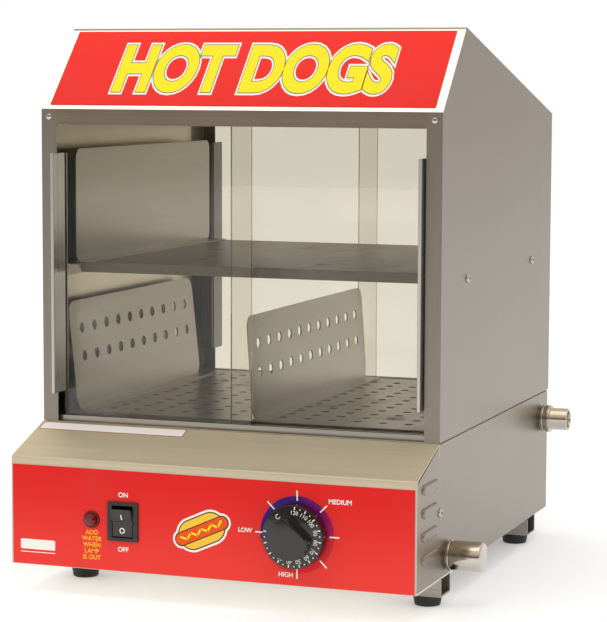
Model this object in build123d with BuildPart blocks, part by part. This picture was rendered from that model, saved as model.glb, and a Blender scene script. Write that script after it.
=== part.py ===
"""Countertop hot dog steamer: a water-bath base with a glazed two-level cabinet.

Millimetres. +X is the right-hand side seen from the front, +Y the back, +Z up.
The origin is on the counter, in the middle of the whole object's footprint.
"""
from build123d import *
import math
import os

os.makedirs("parts", exist_ok=True)

# ---- overall sizes -------------------------------------------------------
body_width = 380.0          # base and cabinet, side to side
base_depth = 442.0          # base, front to back
cabinet_depth = 380.0       # cabinet, front to back
fascia_height = 97.2        # upright front of the base
console_run = 65.3          # sloping top of the console, front to back
console_rise = 23.4         # sloping top of the console, bottom to top
front_height = 285.3        # cabinet front, from the deck to the sign
sign_run = 69.5             # sloping sign, front to back
sign_rise = 73.5            # sloping sign, bottom to top
back_height = 278.9         # cabinet back, from the deck to the roof
sheet = 1.2                 # stainless steel sheet
bend_radius = 2.5           # outside of the folds in the sheet
tight_bend = 1.5            # outside of the small return folds
seam_inset = 1.5            # the deck's edge sits this far inside the body
seam_flange = 12.0          # depth of the folded seam behind the console
side_flange = 12.0          # flanges along the side panels
console_gap = 1.0           # open line between the console's slope and the side panels
louvre_length = 42.0        # pressed vents near the front of both side panels
louvre_height = 9.0
louvre_rise = 2.0           # how far they stand out
louvre_wall = 0.8
louvre_slit = 2.6           # opening along the lower edge
louvre_setback = 37.0       # front of the base to the middle of the louvres
louvre_pitch = 20.2
louvre_count = 4
top_louvre_height = 87.0    # above the base's floor

# ---- legs ----------------------------------------------------------------
foot_height = 10.0
foot_top_radius = 13.0
foot_bottom_radius = 11.6
foot_edge = 1.6             # rounding round the foot's lower edge
leg_height = 16.0           # folded leg bracket, below the base
leg_length = 33.0           # along X
leg_width = 28.6            # along Y
leg_sheet = 1.5
left_leg_inset = 33.0       # foot centre to the left side of the body
right_leg_inset = 15.5      # foot centre to the right side of the body
front_leg_setback = 83.5    # foot centre to the front of the base
rear_leg_setback = 63.5     # foot centre to the back of the base
foot_screw_radius = 2.5
foot_screw_head = 4.2
foot_screw_head_height = 2.6
foot_recess_depth = 5.5     # from the bottom of the foot to the screw seat
screw_clearance = 0.2       # all round a plain screw

# ---- cabinet frame -------------------------------------------------------
post_width = 14.5           # corner posts folded from the side panels
header_height = 14.3        # rail over the doors
header_lip = 4.5            # fold along the lower edge of the rail
roof_bend = 3.0             # outside of the fold at the ridge
sign_border = 7.5           # bare steel left and right of the sign
sign_edge = 2.0             # bare steel above and below the sign
sign_thickness = 0.8
rivet_radius = 2.6
rivet_height = 0.8

# ---- sliding doors -------------------------------------------------------
glass = 4.0
groove_gap = 0.5            # each side of the glass in its groove
track_wall = 1.5
track_rib = 2.5             # between the two grooves
track_web = 1.2
track_setback = 5.7         # outside of the track behind the cabinet face
lower_track_height = 5.0
upper_track_height = 13.0
upper_track_drop = 0.4      # top of the upper track below the rail's top
door_lift = 6.0             # room over the glass to lift a door out
door_tuck = 7.0             # outer edge of the glass from the body's side
door_overlap = 22.4
door_gap = 0.1              # under the glass
handle_length = 218.0
handle_bottom = 27.4        # above the deck
handle_fin = 3.0            # thickness of the finger plate
handle_reach = 24.0         # how far it stands out from the glass
handle_wall = 1.5           # channel that grips the edge of the glass
handle_inset = 16.0         # body's side to the finger plate

# ---- bun shelf -----------------------------------------------------------
shelf_height = 144.6        # top of the shelf above the deck
shelf_front = 27.0          # cabinet face to the shelf
shelf_back = 33.0           # shelf to the cabinet's back
shelf_lip = 9.2
shelf_lip_inset = 26.0      # body's side to the end of the lip
shelf_side_gap = 4.0        # body's side to the edge of the shelf
rail_width = 22.0
rail_depth = 13.5
rail_sheet = 1.5
rail_end_gap = 3.0          # shelf end to rail end
shelf_screw_setback = 80.4  # cabinet face to the front screw
rear_screw_setback = 74.6   # rear screw to the cabinet's back
shelf_screw_drop = 6.7      # top of the rail down to the screws
shelf_screw_radius = 2.0
shelf_screw_head = 4.0
shelf_screw_head_height = 2.2
bun_plate_inset = 20.0      # body's side to the plate beside the buns
bun_plate_height = 104.0
bun_plate_foot = 20.0

# ---- hot dog tray and dividers -------------------------------------------
tray_legs = 5.0             # under the tray, above the deck
tray_side_gap = 18.0        # body's side to the tray
tray_front = 26.0           # cabinet face to the tray
tray_back = 31.0            # tray to the cabinet's back
tray_hole_radius = 4.0
tray_hole_pitch = 24.0
divider_height = 101.0
divider_foot = 16.0
divider_corner = 12.0
divider_end_gap = 2.0       # tray end to divider end
divider_hole_radius = 4.8
divider_hole_pitch = 27.0
divider_row_pitch = 26.5
divider_rows = 2
divider_top_row = 26.0      # top edge to the first row
left_divider_inset = 21.0   # body's side to the foot of the left divider
left_divider_front_gap = 1.5    # tray's front end to the left divider
left_divider_back_gap = 29.5    # left divider to the tray's back end
left_divider_lean = 6.0     # degrees
middle_divider_shift = 5.0  # middle of the body to the middle divider
middle_divider_lean = 4.0   # degrees

# ---- water pan -----------------------------------------------------------
pan_side_gap = 25.0         # body's side to the pan
pan_front = 76.0            # front of the base to the pan
pan_back = 9.0              # pan to the back of the base
pan_depth = 114.0
pan_corner = 5.0
pan_rim = 7.0
deck_side_margin = 32.0     # body's side to the opening in the deck
deck_front_margin = 30.0    # cabinet face to the opening
deck_back_margin = 33.0     # opening to the back of the base

# ---- heating element and its controls -------------------------------------
element_radius = 4.0
element_pitch = 46.0        # between its four runs
element_height = 20.0       # centre line above the pan's floor
element_reach = 324.0       # from the pan's front wall to the far bends
element_return = 46.0       # from the pan's front wall to the near bend
element_tail = 16.0         # sheath in front of the pan
pin_radius = 1.6
pin_length = 9.0
bulkhead_radius = 9.0       # to the corners of the hex fitting
bulkhead_length = 7.0
bulb_radius = 3.0
bulb_length = 96.0
bulb_offset = 18.5          # right of the thermostat's centre
bulb_height = 42.0          # above the pan's floor
bulb_setback = 26.0         # pan's front wall to the near end of the bulb
capillary_radius = 1.0
capillary_bend = 8.0
gland_radius = 6.0
limit_radius = 8.0
limit_height = 12.0
terminal_size = (60.0, 18.0, 16.0)
terminal_setback = 38.0     # front of the base to the terminal block
cord_hole_radius = 4.2
cord_bush_radius = 7.5
cord_flange_radius = 10.0
cord_bush_length = 20.0
cord_flange_height = 5.0
cord_left = 13.5            # from the left side of the body, beside the pan
cord_height = 34.0          # above the base's floor

# ---- drain and overflow, on the right side --------------------------------
tube_radius = 11.0
tube_wall = 2.5
collar_rim = 2.5            # collar past the tube, all round
collar_length = 2.5
drain_side_gap = 3.5        # pan's front to the side of the drain tube
drain_rise = 0.4            # pan's floor to the bottom of the drain tube
drain_tube_reach = 22.0     # past the body's side
drain_washer = 2.5
washer_bore = 5.5
washer_gap = 0.5            # round the washer, inside the cap
cap_wall = 2.2
cap_neck_gap = 3.0          # bare neck between the collar and the cap
cap_end = 9.0               # solid end of the cap
cap_clearance = 0.08
overflow_setback = 417.0    # front of the base to the overflow
overflow_height = 94.4      # above the base's floor
overflow_reach = 28.3
overflow_ring_gap = 1.0
overflow_ring_length = 5.5
tube_inside = 6.0           # how far both tubes reach into the pan
nut_wall = 5.0              # tube to the corners of a locknut
nut_length = 6.0
fitting_clearance = 0.3

# ---- control panel -------------------------------------------------------
overlay_thickness = 0.5
overlay_side_gap = 1.5
overlay_bottom_gap = 0.6
overlay_height = 89.6
control_height = 45.0       # switch, lamp and thermostat, above the base's floor
switch_offset = -80.4       # from the middle of the body
switch_width = 29.6
switch_height = 35.2
bezel_thickness = 2.2
bezel_wall = 1.4            # bezel past its cut-out, all round
switch_depth = 24.0
rocker_width = 19.0
rocker_half = 13.0          # pivot to the rocker's tip
rocker_tilt = 12.0          # degrees each side of level
rocker_gap = 0.5            # at the rocker's sides
rocker_tip_gap = 0.8        # beyond the sweep of its tips
rocker_back = 5.0
rocker_pivot = 1.0          # behind the bezel's face
rocker_pin_radius = 1.5
rocker_pin_length = 1.4
pin_clearance = 0.06
lamp_offset = -110.9
lamp_radius = 6.3
lamp_flange = 7.2
lamp_flange_thickness = 1.2
lamp_barrel = 5.4
lamp_depth = 22.0
lens_height = 4.6
thermostat_offset = 83.0
thermostat_size = (46.0, 22.0, 38.0)
thermostat_screw_spacing = 28.0
thermostat_screw_radius = 2.0
thermostat_screw_head = 3.4
thermostat_screw_head_height = 1.6
shaft_radius = 3.0
shaft_flat = 2.3            # shaft's centre to its flat
shaft_clearance = 0.06
knob_radius = 28.0
knob_gap = 3.0              # panel to the back of the knob
knob_skirt = 9.5
knob_taper = 6.0            # degrees
knob_edge = 1.0
knob_grip_radius = 18.0
knob_grip_height = 12.5
knob_grip_flat = 11.0       # knob's centre to the flat on the grip
knob_grip_turn = 42.0       # degrees from upright to the flat, clockwise
knob_wall = 2.0

# ---- back panel ----------------------------------------------------------
vent_length = 34.0
vent_height = 3.0
vent_columns = 4
vent_rows = 4
vent_spacing = (52.0, 10.0)
panel_screw_radius = 1.8
panel_screw_head = 3.6
panel_screw_head_height = 1.6
panel_screw_margin = 12.0
earth_screw_head = 4.6
earth_screw_setback = 68.0  # front of the base to the earth screw on each side
earth_screw_height = 59.3   # above the base's floor
earth_screw_length = 10.0

# ---- places worked out from the sizes above -------------------------------
track_groove = glass + 2 * groove_gap
track_depth = 2 * track_wall + 2 * track_groove + track_rib
outer_lane = track_setback + track_wall + track_groove / 2
lane_setback = (outer_lane, outer_lane + track_groove + track_rib)

tube_bore = tube_radius - tube_wall
collar_radius = tube_radius + collar_rim
cap_radius = tube_radius + cap_clearance + cap_wall
nut_corner_radius = tube_radius + nut_wall
cap_start = collar_length + cap_neck_gap
fitting_reach = drain_tube_reach + drain_washer + cap_end
knob_reach = overlay_thickness + knob_gap + knob_skirt + knob_grip_height
rear_reach = handle_reach + glass / 2 - outer_lane
overall_depth = knob_reach + console_run + cabinet_depth + rear_reach

left_x = -(body_width + fitting_reach) / 2
right_x = left_x + body_width
mid_x = (left_x + right_x) / 2
front_y = knob_reach - overall_depth / 2
base_back_y = front_y + base_depth
cabinet_y = front_y + console_run
cabinet_back_y = cabinet_y + cabinet_depth
panel_y = front_y - overlay_thickness
inside_y = front_y + sheet

base_z = foot_height + leg_height
floor_z = base_z + sheet
lip_z = base_z + fascia_height
deck_z = lip_z + console_rise
front_top_z = deck_z + front_height
ridge_y = cabinet_y + sign_run
ridge_z = front_top_z + sign_rise
back_top_z = deck_z + back_height
control_z = base_z + control_height
shelf_z = deck_z + shelf_height
tray_z = deck_z + tray_legs

pan_top_z = deck_z - sheet
pan_bottom_z = pan_top_z - pan_depth
pan_floor_z = pan_bottom_z + sheet
pan_left_x = left_x + pan_side_gap
pan_right_x = right_x - pan_side_gap
pan_front_y = front_y + pan_front
pan_back_y = base_back_y - pan_back
pan_mid_y = (pan_front_y + pan_back_y) / 2
element_z = pan_floor_z + element_height
bulb_z = pan_floor_z + bulb_height
drain_y = pan_front_y + drain_side_gap + tube_radius
drain_z = pan_floor_z + tube_radius + drain_rise
overflow_y = front_y + overflow_setback
overflow_z = base_z + overflow_height

switch_x = mid_x + switch_offset
lamp_x = mid_x + lamp_offset
thermostat_x = mid_x + thermostat_offset
bulb_x = thermostat_x + bulb_offset
cord_x = left_x + cord_left
cord_z = base_z + cord_height
bezel_y = panel_y - bezel_thickness
pivot_y = bezel_y + rocker_pivot
rocker_slope = math.tan(math.radians(rocker_tilt))
rocker_sweep = math.hypot(rocker_half, rocker_pivot + rocker_half * rocker_slope)
cavity_half = rocker_sweep + rocker_tip_gap

foot_places = [
    (x, y)
    for x in (left_x + left_leg_inset, right_x - right_leg_inset)
    for y in (front_y + front_leg_setback, base_back_y - rear_leg_setback)
]
shelf_screw_places = [cabinet_y + shelf_screw_setback, cabinet_back_y - rear_screw_setback]
panel_screw_places = [
    (x, z)
    for x in (left_x + panel_screw_margin, mid_x, right_x - panel_screw_margin)
    for z in (base_z + panel_screw_margin, deck_z - panel_screw_margin)
]
louvre_y = front_y + louvre_setback
louvre_places = [base_z + top_louvre_height - i * louvre_pitch for i in range(louvre_count)]
earth_screw_y = front_y + earth_screw_setback
earth_screw_z = base_z + earth_screw_height
element_lanes = [mid_x + (i - 1.5) * element_pitch for i in range(4)]


def save(piece, node):
    piece.label = node
    export_step(piece, f"parts/{node}.step")


def facing_right(x, y, z):
    # a plane that faces +X, with local x along +Y and local y along +Z
    return Plane(origin=(x, y, z), x_dir=(0, 1, 0), z_dir=(1, 0, 0))


def facing_front(x, y, z):
    # a plane that faces -Y, with local x along +X and local y along +Z
    return Plane(origin=(x, y, z), x_dir=(1, 0, 0), z_dir=(0, -1, 0))


def facing_back(x, y, z):
    # a plane that faces +Y, with local x along -X and local y along +Z
    return Plane(origin=(x, y, z), x_dir=(-1, 0, 0), z_dir=(0, 1, 0))


# ==== base housing ========================================================
# One sheet: the upright fascia, the sloping console and a folded seam.
with BuildPart() as base_front:
    with BuildSketch(Plane.YZ.offset(left_x)):
        with BuildLine():
            FilletPolyline(
                (front_y, base_z),
                (front_y, lip_z),
                (cabinet_y, deck_z),
                (cabinet_y, deck_z - seam_flange),
                radius=[bend_radius, tight_bend],
            )
            offset(amount=sheet, side=Side.RIGHT)
        make_face()
    extrude(amount=body_width)
    with BuildSketch(facing_front(mid_x, front_y, control_z)):
        with Locations((switch_offset, 0)):
            Rectangle(switch_width - 2 * bezel_wall, switch_height - 2 * bezel_wall)
        with Locations((lamp_offset, 0)):
            Circle(lamp_barrel)
        with Locations((thermostat_offset, 0)):
            Circle(shaft_radius + shaft_clearance + 2)
            with GridLocations(thermostat_screw_spacing, 1, 2, 1):
                Circle(thermostat_screw_radius)
    extrude(amount=-sheet, mode=Mode.SUBTRACT)
save(base_front.part, "base_front")

with BuildPart() as base_floor:
    with BuildSketch(Plane.XY.offset(base_z)):
        with Locations((mid_x, (front_y + base_back_y) / 2)):
            Rectangle(body_width, base_depth)
            with GridLocations(vent_spacing[0], vent_spacing[1], vent_columns, vent_rows):
                SlotOverall(vent_length, vent_height, mode=Mode.SUBTRACT)
    extrude(amount=sheet)
    add(base_front.part, mode=Mode.SUBTRACT)
save(base_floor.part, "base_floor")

# The back panel stands on the floor's edge line and stops under the deck.
with BuildPart() as base_back:
    with BuildSketch(facing_back(mid_x, base_back_y, (floor_z + pan_top_z) / 2)):
        Rectangle(body_width, pan_top_z - floor_z)
        with Locations((0, -vent_spacing[1])):
            with GridLocations(vent_spacing[0], vent_spacing[1], vent_columns, vent_rows):
                SlotOverall(vent_length, vent_height, mode=Mode.SUBTRACT)
    extrude(amount=-sheet)
    with BuildSketch(facing_back(cord_x, base_back_y, cord_z)):
        Circle(cord_bush_radius)
    extrude(amount=-sheet, mode=Mode.SUBTRACT)
    with BuildSketch(Plane.XZ.offset(-base_back_y)):
        with Locations(*panel_screw_places):
            Circle(panel_screw_radius)
    extrude(amount=sheet, mode=Mode.SUBTRACT)
save(base_back.part, "base_back")


# A side panel lies inside the console sheet, the floor and the back, with a
# flange along its top and bottom edges and a column of louvres at the front.
def base_side(outer_x, inward):
    flange_start = cabinet_y + 2 * side_flange
    flange_end = base_back_y - side_flange
    flange_x = outer_x + inward * side_flange / 2
    with BuildPart() as side:
        with BuildSketch(Plane.YZ.offset(outer_x)):
            with BuildLine():
                shell = FilletPolyline(
                    (front_y, base_z),
                    (front_y, lip_z),
                    (cabinet_y, deck_z),
                    (cabinet_y, pan_top_z),
                    radius=[bend_radius, sheet / 2],
                )
                Polyline(
                    shell @ 1,
                    (base_back_y - sheet, pan_top_z),
                    (base_back_y - sheet, base_z),
                    shell @ 0,
                )
            make_face()
        extrude(amount=inward * sheet)
        add(base_front.part, mode=Mode.SUBTRACT)
        add(base_floor.part, mode=Mode.SUBTRACT)
        with BuildSketch(Plane.YZ.offset(outer_x)):
            with BuildLine():
                Polyline((front_y + bend_radius, lip_z), (cabinet_y, deck_z))
                offset(amount=sheet + console_gap, side=Side.RIGHT)
            make_face()
        extrude(amount=inward * sheet, mode=Mode.SUBTRACT)
        for z in louvre_places:
            with BuildSketch(facing_right(outer_x, louvre_y, z)):
                SlotOverall(louvre_length, louvre_height)
            hood = extrude(amount=-inward * louvre_rise)
            rim = hood.faces().sort_by(Axis.X, reverse=inward > 0)[-1].edges()
            fillet(rim, radius=louvre_rise - 0.1)
            with BuildSketch(facing_right(outer_x + inward * sheet, louvre_y, z)):
                SlotOverall(louvre_length - 2 * louvre_wall, louvre_height - 2 * louvre_wall)
            extrude(amount=-inward * (sheet + louvre_rise - louvre_wall), mode=Mode.SUBTRACT)
            with BuildSketch(facing_right(outer_x, louvre_y, z - louvre_height / 2)):
                Rectangle(louvre_length - louvre_height, louvre_slit)
            extrude(amount=-inward * louvre_rise, mode=Mode.SUBTRACT)
        with BuildSketch(facing_right(outer_x, earth_screw_y, earth_screw_z)):
            Circle(panel_screw_radius)
        extrude(amount=inward * sheet, mode=Mode.SUBTRACT)
        for z in (floor_z, pan_top_z - sheet):
            with BuildSketch(Plane.XY.offset(z)):
                with Locations((flange_x, (flange_start + flange_end) / 2)):
                    Rectangle(side_flange, flange_end - flange_start)
            extrude(amount=sheet)
        if inward < 0:
            with BuildSketch(Plane.YZ.offset(outer_x)):
                with Locations((drain_y, drain_z), (overflow_y, overflow_z)):
                    Circle(tube_radius + fitting_clearance)
            extrude(amount=inward * side_flange, mode=Mode.SUBTRACT)
    return side.part


base_left_side = base_side(left_x, 1)
base_right_side = base_side(right_x, -1)
save(base_left_side, "base_left_side")
save(base_right_side, "base_right_side")

# The deck covers the base and is open over the water pan. Its edge is set in
# a little, which leaves the dark line under the cabinet.
with BuildPart() as base_deck:
    with BuildSketch(Plane.XY.offset(pan_top_z)):
        with Locations((mid_x, (cabinet_y + base_back_y) / 2)):
            Rectangle(body_width - 2 * seam_inset, base_back_y - cabinet_y)
        opening_start = cabinet_y + deck_front_margin
        opening_end = base_back_y - deck_back_margin
        with Locations((mid_x, (opening_start + opening_end) / 2)):
            RectangleRounded(
                body_width - 2 * deck_side_margin,
                opening_end - opening_start,
                pan_corner,
                mode=Mode.SUBTRACT,
            )
    extrude(amount=sheet)
    with BuildSketch(facing_front(mid_x, cabinet_y, deck_z)):
        with Locations((0, -seam_flange / 2)):
            Rectangle(body_width - 2 * seam_inset, seam_flange)
    extrude(amount=-sheet)
save(base_deck.part, "base_deck")

# ==== water pan, heating element, drain and overflow =======================
pan_width = pan_right_x - pan_left_x
pan_length = pan_back_y - pan_front_y

with BuildPart() as water_pan:
    with BuildSketch(Plane.XY.offset(pan_bottom_z)):
        with Locations((mid_x, pan_mid_y)):
            RectangleRounded(pan_width, pan_length, pan_corner)
    extrude(amount=pan_depth)
    with BuildSketch(Plane.XY.offset(pan_top_z)):
        with Locations((mid_x, pan_mid_y)):
            RectangleRounded(pan_width + 2 * pan_rim, pan_length + 2 * pan_rim, pan_corner)
    extrude(amount=-sheet)
    with BuildSketch(Plane.XY.offset(pan_floor_z)):
        with Locations((mid_x, pan_mid_y)):
            RectangleRounded(pan_width - 2 * sheet, pan_length - 2 * sheet, pan_corner - sheet)
    extrude(amount=pan_depth, mode=Mode.SUBTRACT)
    with BuildSketch(Plane.YZ.offset(pan_right_x)):
        with Locations((drain_y, drain_z), (overflow_y, overflow_z)):
            Circle(tube_radius)
    extrude(amount=-2 * sheet, mode=Mode.SUBTRACT)
    with BuildSketch(Plane.XZ.offset(-pan_front_y)):
        with Locations((element_lanes[0], element_z), (element_lanes[3], element_z)):
            Circle(element_radius)
        with Locations((bulb_x, bulb_z)):
            Circle(capillary_radius)
    extrude(amount=-sheet, mode=Mode.SUBTRACT)
save(water_pan.part, "water_pan")

# A round sheath bent into four runs, with a connection pin at each end.
element_front_y = pan_front_y - element_tail
element_near_y = pan_front_y + element_return
element_far_y = pan_front_y + element_reach
element_bend = element_pitch / 2 - 0.05
with BuildPart() as heating_element:
    with BuildLine(Plane.XY.offset(element_z)) as element_path:
        FilletPolyline(
            (element_lanes[0], element_front_y),
            (element_lanes[0], element_far_y),
            (element_lanes[1], element_far_y),
            (element_lanes[1], element_near_y),
            (element_lanes[2], element_near_y),
            (element_lanes[2], element_far_y),
            (element_lanes[3], element_far_y),
            (element_lanes[3], element_front_y),
            radius=element_bend,
        )
    with BuildSketch(facing_front(element_lanes[0], element_front_y, element_z)):
        Circle(element_radius)
    sweep(path=element_path.line)
    for lane in (element_lanes[0], element_lanes[3]):
        with BuildSketch(facing_front(lane, element_front_y, element_z)):
            Circle(pin_radius)
        extrude(amount=pin_length)
save(heating_element.part, "heating_element")

# A hex fitting seals each end of the element in the pan's front wall.
with BuildPart() as element_nuts:
    for lane in (element_lanes[0], element_lanes[3]):
        with BuildSketch(facing_front(lane, pan_front_y, element_z)):
            RegularPolygon(bulkhead_radius, 6)
            Circle(element_radius, mode=Mode.SUBTRACT)
        extrude(amount=bulkhead_length)
save(element_nuts.part, "element_nuts")


spigot_start = pan_right_x - tube_inside
collar_end = right_x + collar_length
with BuildPart() as drain_spigot:
    for start_x, end_x, radius in (
        (spigot_start, right_x + drain_tube_reach, tube_radius),
        (right_x, collar_end, collar_radius),
    ):
        with BuildSketch(facing_right(start_x, drain_y, drain_z)):
            Circle(radius)
            Circle(tube_bore, mode=Mode.SUBTRACT)
        extrude(amount=end_x - start_x)
save(drain_spigot.part, "drain_spigot")

ring_start = collar_end + overflow_ring_gap
with BuildPart() as overflow_tube:
    for start_x, end_x, radius in (
        (spigot_start, right_x + overflow_reach, tube_radius),
        (right_x, collar_end, collar_radius),
        (ring_start, ring_start + overflow_ring_length, collar_radius),
    ):
        with BuildSketch(facing_right(start_x, overflow_y, overflow_z)):
            Circle(radius)
            Circle(tube_bore, mode=Mode.SUBTRACT)
        extrude(amount=end_x - start_x)
save(overflow_tube.part, "overflow_tube")

with BuildPart() as fitting_nuts:
    for y, z in ((drain_y, drain_z), (overflow_y, overflow_z)):
        with BuildSketch(facing_right(right_x - sheet, y, z)):
            RegularPolygon(nut_corner_radius, 6)
            Circle(tube_radius, mode=Mode.SUBTRACT)
        extrude(amount=-nut_length)
    add(base_right_side, mode=Mode.SUBTRACT)
save(fitting_nuts.part, "fitting_nuts")

# The washer seals the end of the spigot, inside the screw cap.
washer_x = right_x + drain_tube_reach
with BuildPart() as drain_seal:
    with BuildSketch(facing_right(washer_x, drain_y, drain_z)):
        Circle(tube_radius - washer_gap)
        Circle(washer_bore, mode=Mode.SUBTRACT)
    extrude(amount=drain_washer)
save(drain_seal.part, "drain_seal")

with BuildPart() as drain_cap:
    with BuildSketch(facing_right(right_x + cap_start, drain_y, drain_z)):
        Circle(cap_radius)
    extrude(amount=fitting_reach - cap_start)
    chamfer(drain_cap.faces().sort_by(Axis.X)[-1].edges(), length=1.5)
    with BuildSketch(facing_right(right_x + cap_start, drain_y, drain_z)):
        Circle(tube_radius + cap_clearance)
    extrude(amount=washer_x + drain_washer - right_x - cap_start, mode=Mode.SUBTRACT)
save(drain_cap.part, "drain_cap")

# ==== legs ================================================================
with BuildPart() as leg_brackets:
    with BuildSketch(Plane.XY.offset(foot_height)):
        with Locations(*foot_places):
            Rectangle(leg_length, leg_width)
    extrude(amount=leg_height)
    with BuildSketch(Plane.XY.offset(foot_height + leg_sheet)):
        with Locations(*foot_places):
            Rectangle(leg_length, leg_width - 2 * leg_sheet)
    extrude(amount=leg_height, mode=Mode.SUBTRACT)
    with BuildSketch(Plane.XY.offset(foot_height)):
        with Locations(*foot_places):
            Circle(foot_screw_radius + screw_clearance)
    extrude(amount=leg_sheet, mode=Mode.SUBTRACT)
save(leg_brackets.part, "leg_brackets")

with BuildPart() as rubber_feet:
    for x, y in foot_places:
        with Locations((x, y, 0)):
            Cone(
                foot_bottom_radius,
                foot_top_radius,
                foot_height,
                align=(Align.CENTER, Align.CENTER, Align.MIN),
            )
    fillet(rubber_feet.faces().group_by(Axis.Z)[0].edges(), radius=foot_edge)
    with Locations(*[Plane(origin=(x, y, 0), z_dir=(0, 0, -1)) for x, y in foot_places]):
        CounterBoreHole(
            radius=foot_screw_radius + screw_clearance,
            counter_bore_radius=foot_screw_head + screw_clearance,
            counter_bore_depth=foot_recess_depth,
        )
save(rubber_feet.part, "rubber_feet")

# Pan-head screws from below, one through each foot and bracket.
with BuildPart() as foot_screws:
    with BuildSketch(Plane.XY.offset(foot_recess_depth)):
        with Locations(*foot_places):
            Circle(foot_screw_head)
    extrude(amount=-foot_screw_head_height)
    with BuildSketch(Plane.XY.offset(foot_recess_depth)):
        with Locations(*foot_places):
            Circle(foot_screw_radius)
    extrude(amount=foot_height + 3 * leg_sheet - foot_recess_depth)
save(foot_screws.part, "foot_screws")

# ==== cabinet =============================================================
front_top = (cabinet_y, front_top_z)
ridge = (ridge_y, ridge_z)
back_top = (cabinet_back_y, back_top_z)

# One sheet folded at the ridge: the sign's backing and the long roof.
with BuildPart() as roof_cover:
    with BuildSketch(Plane.YZ.offset(left_x)):
        with BuildLine():
            FilletPolyline(front_top, ridge, back_top, radius=roof_bend)
            offset(amount=sheet, side=Side.RIGHT)
        make_face()
    extrude(amount=body_width)
save(roof_cover.part, "roof_cover")

sign_length = math.hypot(sign_run, sign_rise)
sign_plane = Plane(
    origin=(mid_x, (cabinet_y + ridge_y) / 2, (front_top_z + ridge_z) / 2),
    x_dir=(1, 0, 0),
    z_dir=(0, -sign_rise, sign_run),
)
with BuildPart() as sign_face:
    with BuildSketch(sign_plane):
        Rectangle(body_width - 2 * sign_border, sign_length - 2 * roof_bend - 2 * sign_edge)
    extrude(amount=sign_thickness)
save(sign_face.part, "sign_face")


# A side panel is folded in at the front and back into the corner posts, and
# along the bottom into a flange that is screwed down to the deck.
def cabinet_side(outer_x, inward):
    flange_x = outer_x + inward * side_flange / 2
    flange_gap = track_setback + track_depth + side_flange
    post_x = outer_x + inward * post_width / 2
    with BuildPart() as side:
        with BuildSketch(Plane.YZ.offset(outer_x)):
            with BuildLine():
                roof = FilletPolyline(front_top, ridge, back_top, radius=roof_bend)
                Polyline(roof @ 1, (cabinet_back_y, deck_z), (cabinet_y, deck_z), roof @ 0)
            make_face()
        extrude(amount=inward * sheet)
        with BuildSketch(Plane.XY.offset(deck_z)):
            with Locations((post_x, cabinet_y + sheet / 2)):
                Rectangle(post_width, sheet)
        extrude(amount=front_height)
        with BuildSketch(Plane.XY.offset(deck_z)):
            with Locations((post_x, cabinet_back_y - sheet / 2)):
                Rectangle(post_width, sheet)
        extrude(amount=back_height)
        with BuildSketch(Plane.XY.offset(deck_z)):
            with Locations((flange_x, (cabinet_y + cabinet_back_y) / 2)):
                Rectangle(side_flange, cabinet_depth - 2 * flange_gap)
        extrude(amount=sheet)
        add(roof_cover.part, mode=Mode.SUBTRACT)
        rail_top = shelf_z - sheet
        with BuildSketch(Plane.YZ.offset(outer_x)):
            with Locations(*[(y, rail_top - shelf_screw_drop) for y in shelf_screw_places]):
                Circle(shelf_screw_radius)
        extrude(amount=inward * sheet, mode=Mode.SUBTRACT)
    return side.part


save(cabinet_side(left_x, 1), "cabinet_left_side")
save(cabinet_side(right_x, -1), "cabinet_right_side")


# The rail over the doors runs between the posts and is folded in under them.
def header(face_y, inward, top_z):
    low_z = top_z - header_height
    with BuildPart() as rail:
        with BuildSketch(Plane.YZ.offset(left_x + post_width)):
            with Locations((face_y + inward * sheet / 2, (top_z + low_z) / 2)):
                Rectangle(sheet, header_height)
            with Locations((face_y + inward * header_lip / 2, low_z + sheet / 2)):
                Rectangle(header_lip, sheet)
        extrude(amount=body_width - 2 * post_width)
        add(roof_cover.part, mode=Mode.SUBTRACT)
    return rail.part


save(header(cabinet_y, 1, front_top_z), "front_header")
save(header(cabinet_back_y, -1, back_top_z), "rear_header")

with BuildPart() as post_rivets:
    with BuildSketch(facing_front(mid_x, cabinet_y, front_top_z - header_height / 2)):
        with GridLocations(body_width - post_width, 1, 2, 1):
            Circle(rivet_radius)
    extrude(amount=rivet_height)
save(post_rivets.part, "post_rivets")


# ==== sliding doors =======================================================
# A track is a channel with two grooves; the upper one has deep grooves, so
# that a door can be lifted out of the lower one.
def door_track(face_y, inward, low_z, height, groove_up):
    middle_y = face_y + inward * (track_setback + track_depth / 2)
    groove_depth = height - track_web
    groove_low = low_z + track_web if groove_up else low_z
    with BuildPart() as track:
        with BuildSketch(Plane.YZ.offset(left_x + sheet)):
            with Locations((middle_y, low_z + height / 2)):
                Rectangle(track_depth, height)
            lanes = [face_y + inward * setback for setback in lane_setback]
            with Locations(*[(lane, groove_low + groove_depth / 2) for lane in lanes]):
                Rectangle(track_groove, groove_depth, mode=Mode.SUBTRACT)
        extrude(amount=body_width - 2 * sheet)
    return track.part


def upper_track_z(top_z):
    return top_z - upper_track_drop - upper_track_height


save(door_track(cabinet_y, 1, deck_z, lower_track_height, True), "front_lower_track")
save(door_track(cabinet_back_y, -1, deck_z, lower_track_height, True), "rear_lower_track")
save(door_track(cabinet_y, 1, upper_track_z(front_top_z), upper_track_height, False),
     "front_upper_track")
save(door_track(cabinet_back_y, -1, upper_track_z(back_top_z), upper_track_height, False),
     "rear_upper_track")


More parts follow.
